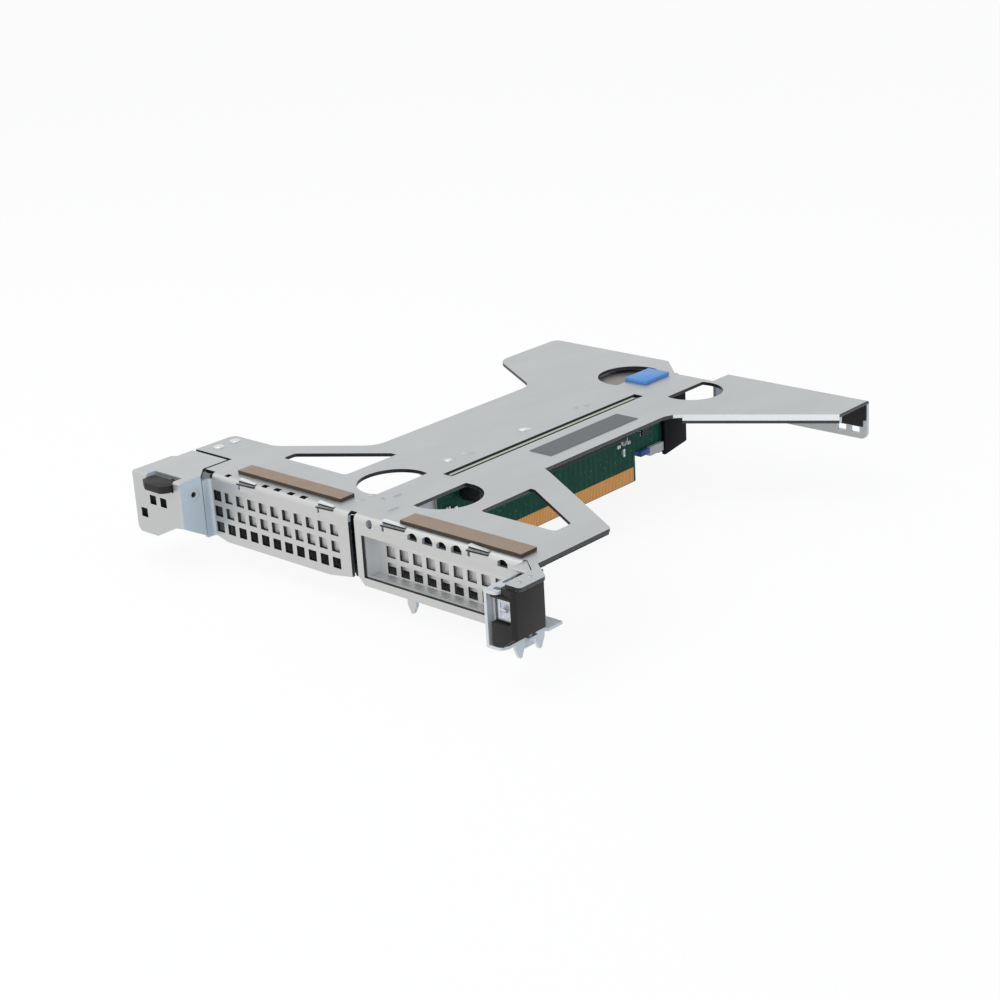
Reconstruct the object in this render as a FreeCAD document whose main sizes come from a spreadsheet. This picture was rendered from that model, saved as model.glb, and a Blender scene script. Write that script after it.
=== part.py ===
import FreeCAD, Part
import math
import os
from types import SimpleNamespace

import Sketcher

# Riser cage for two low-profile cards.
# Lengths are in millimetres. Plan sizes are measured from the middle of the riser board, to the
# left or to the right, and from the front plane of the two card bays, to the rear. Depths are
# measured down from the top of the plate.

SIZES = {
    # Folded sheet
    "wall": 1.5,
    "thin_wall": 1.2,
    "panel_wall": 0.8,
    "fold": 2.5,
    "clearance": 0.3,
    "fit": 0.1,
    "face_depth": 28.6,

    # Outline of the plate
    "plate_left": 112.4,
    "plate_right": 89.9,
    "plate_corner": 3.0,
    "ear_joint": 16.7,
    "ear_joint_right": 89.2,
    "shoulder_rear": 38.0,
    "shoulder_left": 86.6,
    "shoulder_right": 43.5,
    "waist_left": 50.4,
    "waist_right": 27.6,
    "waist_front_left": 62.0,
    "waist_front_right": 79.0,
    "waist_bend": 5.0,
    "waist_bend_rise": 3.0,
    "waist_rear": 159.7,
    "tail_left": 88.7,
    "tail_front": 182.0,
    "tail_rear": 222.5,
    "tail_right": 20.4,
    "tail_round": 10.0,
    "dip_left": 5.7,
    "dip_rear": 208.3,
    "arm_left": 15.4,
    "arm_rear": 221.0,
    "arm_right": 88.0,
    "arm_front": 198.0,
    "arm_drop": 17.5,
    "arm_side_drop": 10.5,
    "arm_lip": 4.0,
    "arm_lip_wall": 1.8,

    # Long slot over the board
    "slot_width": 5.0,
    "slot_front": 51.7,
    "slot_rear": 174.5,

    # Finger holes, each a circle with one flat side
    "front_hole_radius": 15.1,
    "front_hole_across": 34.5,
    "front_left_hole": 12.4,
    "front_left_flat": 8.3,
    "front_right_hole": 15.2,
    "front_right_flat": 12.2,
    "rear_hole_radius": 15.0,
    "rear_hole_across": 195.0,
    "rear_left_hole": 20.6,
    "rear_left_flat": 16.9,
    "arm_hole_radius": 13.5,
    "arm_hole_across": 192.0,
    "arm_hole": 16.1,
    "arm_hole_flat": 12.1,

    # Triangle and trapezoid openings
    "window_front": 29.5,
    "window_rear": 58.5,
    "window_round": 1.8,
    "triangle_left": 72.1,
    "triangle_right": 35.0,
    "triangle_tip": 3.2,
    "triangle_side": 6.6,
    "trapezoid_left": 37.9,
    "trapezoid_right": 75.0,
    "trapezoid_tip": 2.2,
    "trapezoid_side": 9.2,

    # Gap between the bays
    "gap_left": 3.7,
    "gap_right": 0.3,

    # Left bay face and its square vents
    "face_left": 82.9,
    "face_bend": 1.5,
    "flange_front": 4.0,
    "face_corner": 5.8,
    "face_corner_rise": 1.6,
    "face_taper": 12.5,
    "face_taper_rise": 1.9,
    "vent_side": 4.5,
    "vent_pitch": 6.85,
    "vent_columns": 11,
    "vent_rows": 3,
    "vent_first": 82.6,
    "vent_top": 6.8,
    "vent_row_pitch": 6.8,

    # Row of slots along the fold
    "row_front": 1.3,
    "row_rear": 3.5,
    "row_depth": 4.0,
    "row_shoulder": 2.4,
    "row_arch": 3.2,
    "row_round_hole": 7.8,
    "row_round_radius": 1.7,
    "lance_rise": 0.7,
    "lance_mouth": 1.8,

    # Right bay frame
    "frame_right": 83.8,
    "post": 3.3,
    "window_right": 81.6,
    "window_top": 7.8,
    "window_bottom": 25.3,
    "tongue_left": 25.6,
    "tongue_width": 4.4,
    "tongue_depth": 34.1,
    "tongue_taper": 3.4,
    "tongue_tip": 0.9,

    # Cover over the end latch
    "cover_left": 92.0,
    "cover_right": 99.6,
    "cover_front": 18.0,
    "cover_rear": 4.4,
    "cover_round": 1.5,
    "neck_left": 85.2,
    "neck_rise": 3.0,

    # Ear
    "ear_left": 115.4,
    "ear_right": 84.4,
    "ear_step": 3.0,
    "ear_step_rear": 6.2,
    "ear_neck": 90.4,
    "ear_neck_front": 2.0,
    "ear_front": 15.5,
    "ear_rear": 15.0,
    "ear_depth": 26.4,
    "ear_foot_right": 102.3,
    "ear_chamfer": 2.6,
    "ear_slope_end": 89.8,
    "ear_slope_depth": 20.4,
    "ear_side_depth": 19.7,
    "ear_side_rear_depth": 26.0,
    "ear_side_rear": 4.3,
    "ear_round": 1.2,
    "ear_lug_rear": 37.0,
    "ear_vent": 4.0,
    "ear_vent_pitch": 6.6,
    "ear_vent_left": 104.7,
    "ear_vent_top": 8.7,
    "ear_vent_drop": 6.7,
    "ear_screw_front": 8.6,
    "ear_screw_depth": 6.9,
    "ear_screw_radius": 1.2,
    "ear_dimple_radius": 2.8,
    "ear_dimple_depth": 0.4,
    "ear_rivet_radius": 1.4,
    "ear_rivet_head": 2.4,
    "ear_rivet_rise": 0.7,
    "ear_rivet_left": 106.1,
    "ear_rivet_first": 24.0,
    "ear_rivet_pitch": 9.0,

    # Ear latch and the lugs that carry its pin
    "lip_left": 105.2,
    "lip_right": 88.9,
    "lip_front": 20.4,
    "lip_top": 1.3,
    "lip_bottom": 4.4,
    "lip_round": 2.2,
    "lever_wall": 2.2,
    "lever_rise_front": 13.7,
    "lever_left": 103.7,
    "lever_right": 92.2,
    "ear_pin_rear": 4.0,
    "ear_pin_depth": 6.2,
    "ear_pin_radius": 1.0,
    "lever_boss": 2.4,
    "ear_notch_rear": 10.6,
    "ear_notch_depth": 4.9,
    "lug_front": 0.5,
    "lug_rear": 7.5,
    "lug_depth": 9.6,

    # End bracket, a folded channel that opens to the right
    "end_wall": 84.1,
    "end_front": 19.8,
    "end_rear": 7.7,
    "end_top": 3.2,
    "end_bottom": 25.3,
    "end_flange_right": 90.4,
    "end_flange_rear": 11.5,
    "end_floor_right": 91.8,
    "end_hole_across": 16.5,
    "end_hole_along": 88.1,
    "end_hole_width": 3.6,
    "end_hole_length": 2.2,
    "end_hole_round": 1.0,
    "foot_front": 3.0,
    "foot_rear": 10.5,
    "foot_right": 93.2,
    "prong_depth": 31.0,
    "prong_width": 5.0,
    "prong_taper": 4.2,
    "prong_tip": 1.1,
    "prong_front": 13.3,
    "prong_pitch": 10.5,
    "end_tab_front": 3.0,
    "end_tab_rear": 4.5,
    "end_tab_depth": 32.5,

    # End latch and its pin
    "pivot_right": 91.2,
    "pivot_front": 5.4,
    "pivot_radius": 1.1,
    "pivot_boss": 3.6,
    "latch_left": 86.9,
    "latch_right": 97.6,
    "latch_front": 19.5,
    "latch_rear": 3.5,
    "latch_chamfer": 1.5,
    "latch_neck": 9.0,
    "latch_side_depth": 20.0,
    "latch_slope_left": 91.6,
    "latch_slope_right": 96.1,
    "latch_window_top": 5.5,
    "latch_window_bottom": 15.0,
    "latch_window_right": 95.9,
    "latch_window_rear": 10.4,

    # Filler of the right bay
    "filler_wall": 1.0,
    "filler_left": 2.1,
    "filler_set_back": 8.0,
    "filler_top": 5.2,
    "filler_bottom": 26.4,
    "filler_step": 23.5,
    "filler_ledge_front": 3.0,
    "filler_tab_front": 17.0,
    "filler_tab_bottom": 22.0,
    "filler_notch_front": 14.5,
    "filler_notch_length": 3.5,
    "filler_notch_top": 11.0,
    "filler_notch_height": 3.3,
    "filler_vent": 4.6,
    "filler_vent_first": 8.0,
    "filler_vent_pitch": 7.0,
    "filler_vent_columns": 10,

    # Blanks behind the vents
    "left_blank_depth": 19.5,
    "right_blank_depth": 22.8,
    "blank_flange": 5.6,
    "left_blank_left": 76.6,
    "left_blank_right": 5.4,
    "left_blank_front": 2.6,
    "right_blank_left": 6.0,
    "right_blank_right": 82.5,
    "right_blank_front": 9.9,

    # Riser board
    "board_wall": 1.6,
    "board_front": 44.0,
    "board_rear": 190.0,
    "board_top": 1.9,
    "board_crest": 0.3,
    "crest_front": 53.5,
    "crest_rear": 171.0,
    "board_bottom": 25.0,
    "edge_front": 48.0,
    "edge_rear": 169.3,
    "edge_depth": 38.6,
    "edge_chamfer": 0.5,
    "key_rear": 66.0,
    "key_width": 1.9,
    "key_height": 7.6,
    "contact_height": 6.6,
    "contact_wall": 0.05,
    "contact_pitch": 1.0,

    # Card connectors
    "socket_reach": 11.3,
    "socket_front": 57.0,
    "socket_length": 90.0,
    "socket_clip": 5.0,
    "socket_top": 2.6,
    "socket_height": 7.6,
    "socket_mouth_height": 1.9,
    "socket_mouth_depth": 8.4,
    "socket_key": 13.6,
    "socket_key_half": 0.8,

    # Sheets that carry the board
    "bracket_left": 14.0,
    "bracket_front": 50.2,
    "bracket_rear": 177.0,
    "bracket_lug_length": 5.6,
    "bracket_lug_rear": 154.5,
    "bracket_depth": 23.0,
    "divider_front": 2.2,
    "divider_nose": 8.5,
    "divider_step": 14.0,
    "divider_step_rear": 12.0,
    "divider_rear": 49.6,
    "divider_flange_left": 12.0,
    "divider_flange_front": 9.0,
    "divider_flange_rear": 18.0,
    "plate_rivet_left": 10.8,
    "plate_rivet_first": 66.0,
    "plate_rivet_pitch": 43.0,
    "plate_rivet_radius": 1.6,
    "board_screw_radius": 1.2,
    "board_screw_head": 2.4,
    "board_screw_rise": 1.3,
    "board_screw_depth": 17.0,
    "board_screw_front": 46.9,
    "board_screw_rear": 161.0,

    # Small parts of the board
    "header_width": 5.0,
    "blue_front": 171.5,
    "blue_length": 6.3,
    "blue_height": 2.6,
    "power_length": 9.8,
    "power_height": 4.0,
    "guide_width": 6.0,
    "guide_front": 188.4,
    "guide_rear": 204.5,
    "guide_front_depth": 31.5,
    "guide_rear_depth": 29.2,

    # Touch tab and the tray under the finger hole
    "tab_front": 187.5,
    "tab_rear": 205.0,
    "tab_right": 6.4,
    "tab_rise": 1.7,
    "tab_hook": 1.3,
    "tab_under": 5.0,
    "tray_left": 38.4,
    "tray_right": 7.4,
    "tray_front": 178.0,
    "tray_rear": 213.0,
    "tray_gap": 1.6,

    # Strips, field and film
    "foam_rise": 2.0,
    "left_foam_left": 73.4,
    "left_foam_right": 13.4,
    "left_foam_front": 4.3,
    "left_foam_width": 9.5,
    "right_foam_left": 21.6,
    "right_foam_right": 82.9,
    "right_foam_front": 2.6,
    "right_foam_width": 9.0,
    "field_left": 8.4,
    "field_width": 11.7,
    "field_front": 91.7,
    "field_length": 56.6,
    "field_rise": 0.2,
    "film_wall": 0.3,
    "vent_film_left": 83.0,
    "vent_film_depth": 26.5,
    "fold_film_left": 12.0,
    "fold_film_right": 81.0,
    "fold_film_rear": 6.5,
    "fold_film_depth": 5.0,
    "film_left": 20.0,
    "film_right": 86.0,
    "film_depth": 12.0,
    "arm_vent": 4.5,
    "arm_vent_height": 2.8,
    "arm_vent_depth": 12.3,
    "arm_vent_left": 73.1,
    "arm_vent_pitch": 6.7,
}

# Slots along the fold of each bay, each from its left end to its right end
LEFT_ROW = [(-76.3, -73.7), (-54.2, -51.1), (-47.1, -43.7), (-39.3, -35.9), (-31.9, -28.6)]
LEFT_LANCES = [(-66.8, -57.1), (-20.6, -12.0)]
RIGHT_ROW = [(28.0, 33.0), (35.5, 40.9), (42.9, 47.8), (50.1, 55.5), (72.9, 77.8)]
RIGHT_LANCES = [(14.6, 26.4), (58.4, 68.4)]

# Parts soldered to the board: side, place to the rear, depth, length, height, rise
CHIPS = [
    (1, 157.5, 19.0, 2.0, 1.5, 1.0),
    (1, 160.7, 22.5, 1.3, 3.5, 1.2),
    (1, 164.6, 18.9, 1.8, 1.5, 0.9),
    (1, 176.0, 15.5, 6.0, 6.0, 1.2),
    (1, 53.8, 16.0, 1.6, 5.2, 1.1),
    (1, 49.5, 13.6, 2.4, 2.4, 0.9),
    (1, 74.0, 14.2, 2.0, 1.2, 0.8),
    (1, 82.0, 14.2, 2.0, 1.2, 0.8),
    (1, 98.0, 15.0, 4.0, 4.0, 1.0),
    (1, 121.0, 14.2, 2.0, 1.2, 0.8),
    (-1, 98.0, 15.5, 4.0, 4.0, 1.0),
    (-1, 126.0, 14.2, 2.0, 1.2, 0.8),
    (-1, 143.0, 15.5, 5.0, 5.0, 1.2),
]

doc = FreeCAD.newDocument("RiserCage")
sheet = doc.addObject("Spreadsheet::Sheet", "Sizes")
for row, (name, value) in enumerate(SIZES.items(), start=1):
    sheet.set(f"A{row}", name)
    sheet.set(f"B{row}", str(value))
    sheet.setAlias(f"B{row}", name)
doc.recompute()


class Size:
    """A length that knows its number now and the expression that keeps it up to date."""

    def __init__(self, number, text):
        self.number = number
        self.text = text

    def join(self, other, sign, number):
        other = as_size(other)
        return Size(number(self.number, other.number), f"({self.text} {sign} {other.text})")

    def __add__(self, other):
        return self.join(other, "+", lambda a, b: a + b)

    def __sub__(self, other):
        return self.join(other, "-", lambda a, b: a - b)

    def __mul__(self, other):
        return self.join(other, "*", lambda a, b: a * b)

    def __truediv__(self, other):
        return self.join(other, "/", lambda a, b: a / b)

    def __neg__(self):
        return Size(-self.number, f"(0 - {self.text})")


def as_size(value):
    return value if isinstance(value, Size) else Size(value, repr(value))


def root(size):
    return Size(math.sqrt(size.number), f"sqrt({size.text})")


v = SimpleNamespace(**{name: Size(sheet.get(name), f"Sizes.{name}") for name in SIZES})
zero = as_size(0)

# Heights of sheet surfaces that other pieces meet
plate_under = -v.wall
face_inner = v.wall
arm_inner = v.arm_rear - v.wall
board_half = v.board_wall / 2
slot_half = v.slot_width / 2
bed_left = -(board_half + v.thin_wall)

# The origin lies under the middle of the whole outline, on the surface that the tongue stands on
shift_x = (v.ear_left - v.cover_right) / 2
shift_y = (v.lip_front - v.tail_rear) / 2
shift_z = v.edge_depth

PLANES = {"x": "YZ_Plane", "y": "XZ_Plane", "z": "XY_Plane"}
nodes = []


def bind(thing, name, size):
    thing.setExpression(name, as_size(size).text)


def keep(thing, label):
    """Name a finished piece and put it in the frame of the whole object."""
    thing.Label = label
    bind(thing, "Placement.Base.x", shift_x)
    bind(thing, "Placement.Base.y", shift_y)
    bind(thing, "Placement.Base.z", shift_z)
    nodes.append(thing)


def new_body(label):
    body = doc.addObject("PartDesign::Body", label)
    keep(body, label)
    return body


def point(x, y):
    return FreeCAD.Vector(as_size(x).number, as_size(y).number, 0)


def arc_between(a, b, radius, turn):
    """The short arc from a to b that turns left (1) or right (-1)."""
    chord = b - a
    half = chord.Length / 2
    away = math.sqrt(max(radius * radius - half * half, 0))
    side = FreeCAD.Vector(-chord.y, chord.x, 0).normalize() * (away * turn)
    centre = (a + b) * 0.5 + side
    first, last = (a, b) if turn > 0 else (b, a)
    circle = Part.Circle(centre, FreeCAD.Vector(0, 0, 1), radius)
    start = math.atan2(first.y - centre.y, first.x - centre.x)
    end = math.atan2(last.y - centre.y, last.x - centre.x)
    return Part.ArcOfCircle(circle, start, end)


def add_loop(sketch, corners):
    """Draw a closed outline. A corner is (x, y), or (x, y, radius, turn) where an arc starts."""
    first = sketch.GeometryCount
    ends = []
    arcs = []
    for number, corner in enumerate(corners):
        a = point(corner[0], corner[1])
        after = corners[(number + 1) % len(corners)]
        b = point(after[0], after[1])
        index = first + number
        if len(corner) == 2:
            sketch.addGeometry(Part.LineSegment(a, b), False)
            ends.append((index, 1, 2))
            continue
        radius, turn = as_size(corner[2]), corner[3]
        sketch.addGeometry(arc_between(a, b, radius.number, turn), False)
        ends.append((index, 1, 2) if turn > 0 else (index, 2, 1))
        arcs.append((index, radius))
    bound = []
    plain = []
    for number, (index, start, end) in enumerate(ends):
        after = ends[(number + 1) % len(ends)]
        plain.append(Sketcher.Constraint("Coincident", index, end, after[0], after[1]))
        for kind, size in zip(("DistanceX", "DistanceY"), corners[number][:2]):
            size = as_size(size)
            bound.append((Sketcher.Constraint(kind, -1, 1, index, start, size.number), size))
    for index, radius in arcs:
        bound.append((Sketcher.Constraint("Radius", index, radius.number), radius))
    bind_constraints(sketch, plain, bound)


def add_circle(sketch, x, y, radius):
    x, y, radius = as_size(x), as_size(y), as_size(radius)
    circle = Part.Circle(point(x, y), FreeCAD.Vector(0, 0, 1), radius.number)
    index = sketch.addGeometry(circle, False)
    bound = [
        (Sketcher.Constraint("DistanceX", -1, 1, index, 3, x.number), x),
        (Sketcher.Constraint("DistanceY", -1, 1, index, 3, y.number), y),
        (Sketcher.Constraint("Radius", index, radius.number), radius),
    ]
    bind_constraints(sketch, [], bound)


def bind_constraints(sketch, plain, bound):
    sketch.addConstraint(plain)
    for constraint, size in bound:
        index = sketch.addConstraint(constraint)
        if "Sizes" in size.text:
            sketch.setExpression(f"Constraints[{index}]", size.text)


def new_sketch(body, axis, at):
    sketch = body.newObject("Sketcher::SketchObject", f"{body.Name}_outline")
    planes = {feature.Role: feature for feature in body.Origin.OriginFeatures}
    sketch.AttachmentSupport = [(planes[PLANES[axis]], "")]
    sketch.MapMode = "FlatFace"
    bind(sketch, "AttachmentOffset.Base.z", -as_size(at) if axis == "y" else at)
    return sketch


def draw(sketch, loops):
    for loop in loops:
        if loop[0] == "circle":
            add_circle(sketch, *loop[1:])
        else:
            add_loop(sketch, loop)


def solid(body, axis, low, high, *loops):
    """Thicken an outline from low to high along an axis."""
    sketch = new_sketch(body, axis, high if axis == "y" else low)
    draw(sketch, loops)
    pad = body.newObject("PartDesign::Pad", f"{body.Name}_pad")
    pad.Profile = sketch
    bind(pad, "Length", as_size(high) - low)
    doc.recompute()
    return pad


def cut(body, axis, low, high, *loops):
    """Cut an outline away from low to high along an axis."""
    sketch = new_sketch(body, axis, low if axis == "y" else high)
    draw(sketch, loops)
    pocket = body.newObject("PartDesign::Pocket", f"{body.Name}_cut")
    pocket.Profile = sketch
    bind(pocket, "Length", as_size(high) - low)
    doc.recompute()
    return pocket


def repeat(body, feature, axis, pitch, count):
    """Repeat a cut or a pad along an axis of its body."""
    axes = {item.Role: item for item in body.Origin.OriginFeatures}
    pattern = body.newObject("PartDesign::LinearPattern", f"{body.Name}_row")
    pattern.Originals = [feature]
    pattern.Direction = (axes[f"{axis.upper()}_Axis"], [""])
    bind(pattern, "Length", pitch * (count - 1))
    bind(pattern, "Occurrences", count)
    body.Tip = pattern
    doc.recompute()
    return pattern


def edges_along(shape, axis, places):
    """Names of the straight edges along an axis that pass through the given places."""
    along = "xyz".index(axis)
    across = [index for index in range(3) if index != along]
    wanted = [(as_size(a).number, as_size(b).number) for a, b in places]
    names = []
    for number, edge in enumerate(shape.Edges, start=1):
        first, last = edge.Vertexes[0].Point, edge.Vertexes[-1].Point
        if any(abs(first[index] - last[index]) > 1e-4 for index in across):
            continue
        if any(math.dist((first[across[0]], first[across[1]]), place) < 1e-3 for place in wanted):
            names.append(f"Edge{number}")
    return names


def dress(body, kind, axis, size, *places):
    """Fillet or chamfer the edges along an axis at the given places."""
    base = body.Tip
    feature = body.newObject(f"PartDesign::{kind}", f"{body.Name}_{kind}")
    feature.Base = (base, edges_along(base.Shape, axis, places))
    bind(feature, "Radius" if kind == "Fillet" else "Size", size)
    doc.recompute()
    return feature


def rectangle(x0, x1, y0, y1):
    return [(x0, y0), (x1, y0), (x1, y1), (x0, y1)]


def finger_hole(centre, across, radius, flat, side):
    """A circle with one flat side, on the left (-1) or right (1) of its flat."""
    offset = flat - centre
    half = root(radius * radius - offset * offset)
    lower, upper = (flat, across - half), (flat, across + half)
    far = (centre + radius * side, across)
    if side > 0:
        return [(*lower, radius, 1), (*far, radius, 1), upper]
    return [(*upper, radius, 1), (*far, radius, 1), lower]


def pointed(left, right, low, taper, tip):
    """Sides of a tongue that narrow over the taper to a round tip."""
    middle = (left + right) / 2
    return [
        (left, low + taper),
        (middle - tip, low + tip, tip, 1),
        (middle, low, tip, 1),
        (middle + tip, low + tip),
        (right, low + taper),
    ]


def fold_profile(outer, wall):
    """Section of the fold between the plate and a bay face, to the rear and up."""
    inner = outer - wall
    return [
        (outer, zero, outer, 1),
        (zero, -outer),
        (wall, -outer, inner, -1),
        (outer, -wall),
    ]


def plate_outline():
    lip_x, lip_y = v.arm_right, v.arm_front
    return [
        (-v.plate_left, v.ear_joint),
        (-v.ear_joint_right, v.ear_joint),
        (-v.ear_joint_right, v.fold),
        (v.neck_left, v.fold),
        (v.cover_left, -v.neck_rise),
        (v.cover_left, -v.cover_front),
        (v.cover_right, -v.cover_front),
        (v.cover_right, -v.cover_rear),
        (v.plate_right, v.fold),
        (v.plate_right, v.shoulder_right),
        (v.waist_right + v.waist_bend, v.waist_front_right - v.waist_bend / 2),
        (v.waist_right, v.waist_front_right),
        (v.waist_right, v.waist_rear),
        (lip_x, lip_y),
        (v.arm_right, arm_inner),
        (v.arm_left, arm_inner),
        (v.arm_left, v.dip_rear),
        (-v.dip_left, v.dip_rear),
        (-v.tail_right, v.tail_rear),
        (-v.tail_left, v.tail_rear),
        (-v.tail_left, v.tail_front),
        (-v.waist_left, v.waist_rear),
        (-v.waist_left, v.waist_front_left),
        (-v.shoulder_left, v.shoulder_rear),
        (-v.plate_left, v.shoulder_rear),
    ]


def cage_plate():
    """The folded sheet: plate, left bay face, right bay frame, rear arm."""
    body = new_body("cage_plate")
    solid(body, "z", plate_under, zero, plate_outline())
    dress(body, "Fillet", "z", v.tail_round, (-v.tail_left, v.tail_front),
          (-v.waist_left, v.waist_rear), (-v.shoulder_left, v.shoulder_rear),
          (-v.waist_left, v.waist_front_left), (v.waist_right, v.waist_rear))
    dress(body, "Fillet", "z", v.plate_corner, (-v.plate_left, v.shoulder_rear),
          (v.plate_right, v.shoulder_right), (v.cover_right, -v.cover_rear),
          (-v.tail_left, v.tail_rear), (-v.tail_right, v.tail_rear), (-v.dip_left, v.dip_rear))
    dress(body, "Fillet", "z", v.cover_round, (v.cover_left, -v.cover_front),
          (v.cover_right, -v.cover_front))

    # Left bay: fold, face, and the flange that bends forward to the ear
    solid(body, "x", -v.face_left, -v.gap_left, fold_profile(v.fold, v.wall))
    solid(body, "y", zero, face_inner, [
        (-v.face_left, -v.fold),
        (-v.face_left, v.face_corner_rise - v.face_depth),
        (-(v.face_left - v.face_corner), -v.face_depth),
        (-(v.gap_left + v.face_taper), -v.face_depth),
        (-v.gap_left, v.face_taper_rise - v.face_depth),
        (-v.gap_left, -v.fold),
    ])
    outer_bend = v.face_bend + v.wall
    flange_x = v.face_left + v.face_bend
    solid(body, "z", v.face_corner_rise - v.face_depth, -v.fold, [
        (-v.face_left, zero, v.face_bend, 1),
        (-flange_x, -v.face_bend),
        (-flange_x, -v.flange_front),
        (-(flange_x + v.wall), -v.flange_front),
        (-(flange_x + v.wall), -v.face_bend, outer_bend, -1),
        (-v.face_left, face_inner),
    ])

    # Right bay: fold, frame with its window, and the tongue below it
    solid(body, "x", -v.gap_right, v.frame_right, fold_profile(v.fold, v.wall))
    tongue_right = v.tongue_left + v.tongue_width
    tongue = pointed(v.tongue_left, tongue_right, -v.tongue_depth, v.tongue_taper, v.tongue_tip)
    solid(body, "y", zero, face_inner, [
        (-v.gap_right, -v.fold),
        (-v.gap_right, v.post - v.face_depth),
        (v.post - v.gap_right, -v.face_depth),
        (v.tongue_left, -v.face_depth),
        *tongue,
        (tongue_right, -v.face_depth),
        (v.frame_right, -v.face_depth),
        (v.frame_right, -v.fold),
    ])
    cut(body, "y", -v.clearance, face_inner + v.clearance, rectangle(
        v.post - v.gap_right, v.window_right, -v.window_bottom, -v.window_top))

    # Rear arm: fold, flange, side flange and the lip along its front edge
    arm_face = v.arm_rear
    solid(body, "y", arm_inner, arm_face, rectangle(
        v.arm_left, v.arm_right, -v.arm_drop, zero))
    solid(body, "x", v.arm_left, v.arm_left + v.wall, rectangle(
        v.dip_rear, arm_face, -v.arm_side_drop, zero))
    solid(body, "z", -v.arm_lip, zero, [
        (v.waist_right + v.waist_bend, v.waist_rear + v.waist_bend_rise),
        (v.arm_right, v.arm_front),
        (v.arm_right, v.arm_front + v.arm_lip_wall),
        (v.waist_right + v.waist_bend, v.waist_rear + v.waist_bend_rise + v.arm_lip_wall),
    ])
    dress(body, "Fillet", "x", v.wall, (arm_face, zero))
    dress(body, "Fillet", "y", v.plate_corner, (v.arm_right, -v.arm_drop))

    # Long slot, finger holes and the two windows of the plate
    through = (plate_under - v.clearance, v.clearance)
    cut(body, "z", *through, rectangle(-slot_half, slot_half, v.slot_front, v.slot_rear))
    cut(body, "z", *through,
        finger_hole(-v.front_left_hole, v.front_hole_across, v.front_hole_radius,
                    -v.front_left_flat, -1),
        finger_hole(v.front_right_hole, v.front_hole_across, v.front_hole_radius,
                    v.front_right_flat, 1),
        finger_hole(-v.rear_left_hole, v.rear_hole_across, v.rear_hole_radius,
                    -v.rear_left_flat, -1),
        finger_hole(v.arm_hole, v.arm_hole_across, v.arm_hole_radius, v.arm_hole_flat, 1))
    triangle = [
        (-v.triangle_left, v.window_front),
        (-v.triangle_right, v.window_front),
        (-v.triangle_right, v.window_rear),
        (-(v.triangle_right + v.triangle_tip), v.window_rear),
        (-v.triangle_left, v.window_front + v.triangle_side),
    ]
    trapezoid = [
        (v.trapezoid_left, v.window_front),
        (v.trapezoid_right, v.window_front),
        (v.trapezoid_right, v.window_front + v.trapezoid_side),
        (v.trapezoid_left + v.trapezoid_tip, v.window_rear),
        (v.trapezoid_left, v.window_rear),
    ]
    cut(body, "z", *through, triangle, trapezoid)
    dress(body, "Fillet", "z", v.window_round, *triangle[:2], triangle[4], *trapezoid[:3])

    # Slots and lances along the folds
    cut(body, "z", -v.fold - v.clearance, v.clearance, *[
        rectangle(as_size(a), as_size(b), v.row_front, v.row_rear) for a, b in LEFT_ROW])
    cut(body, "y", -v.clearance, v.fold, *[[
        (as_size(a), -v.row_depth),
        (as_size(b), -v.row_depth),
        (as_size(b), -v.row_shoulder, v.row_arch, 1),
        (as_size(a), -v.row_shoulder),
    ] for a, b in RIGHT_ROW])
    cut(body, "y", -v.clearance, v.fold, (
        "circle", v.row_round_hole, -v.fold, v.row_round_radius))
    for left, right in LEFT_LANCES + RIGHT_LANCES:
        left, right = as_size(left), as_size(right)
        solid(body, "z", -v.row_depth, -v.wall / 2, [
            (left, -v.lance_rise),
            (right, zero),
            (right, v.wall),
            (left, v.wall),
        ])
        solid(body, "y", v.wall / 2, v.fold, [
            (left, v.lance_rise),
            (left, -v.wall),
            (right, -v.wall),
            (right, zero),
        ])
    cut(body, "y", -v.lance_rise - v.clearance, v.fold, *[
        rectangle(as_size(left), as_size(left) + v.lance_mouth, -v.row_depth + v.lance_rise,
                  -v.wall)
        for left, right in LEFT_LANCES + RIGHT_LANCES])

    # Holes for the rivets of the ear and of the board bracket
    cut(body, "z", *through, *[
        ("circle", -v.ear_rivet_left, v.ear_rivet_first + v.ear_rivet_pitch * number,
         v.ear_rivet_radius + v.fit) for number in range(2)])
    cut(body, "z", *through, *[
        ("circle", -v.plate_rivet_left, v.plate_rivet_first + v.plate_rivet_pitch * number,
         v.plate_rivet_radius + v.fit) for number in range(3)])

    # Vents near the end of the arm flange
    arm_vents = cut(body, "y", arm_inner - v.clearance, arm_face + v.clearance, rectangle(
        v.arm_vent_left, v.arm_vent_left + v.arm_vent,
        -(v.arm_vent_depth + v.arm_vent_height), -v.arm_vent_depth))
    repeat(body, arm_vents, "x", v.arm_vent_pitch, as_size(2))

    # Square vents of the left bay
    top = -v.vent_top
    rows = []
    for number in range(SIZES["vent_rows"]):
        upper = top - v.vent_row_pitch * number
        rows.append(rectangle(
            -v.vent_first, v.vent_side - v.vent_first, upper - v.vent_side, upper))
    vents = cut(body, "y", -v.clearance, face_inner + v.clearance, *rows)
    repeat(body, vents, "x", v.vent_pitch, v.vent_columns)
    return body


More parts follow.
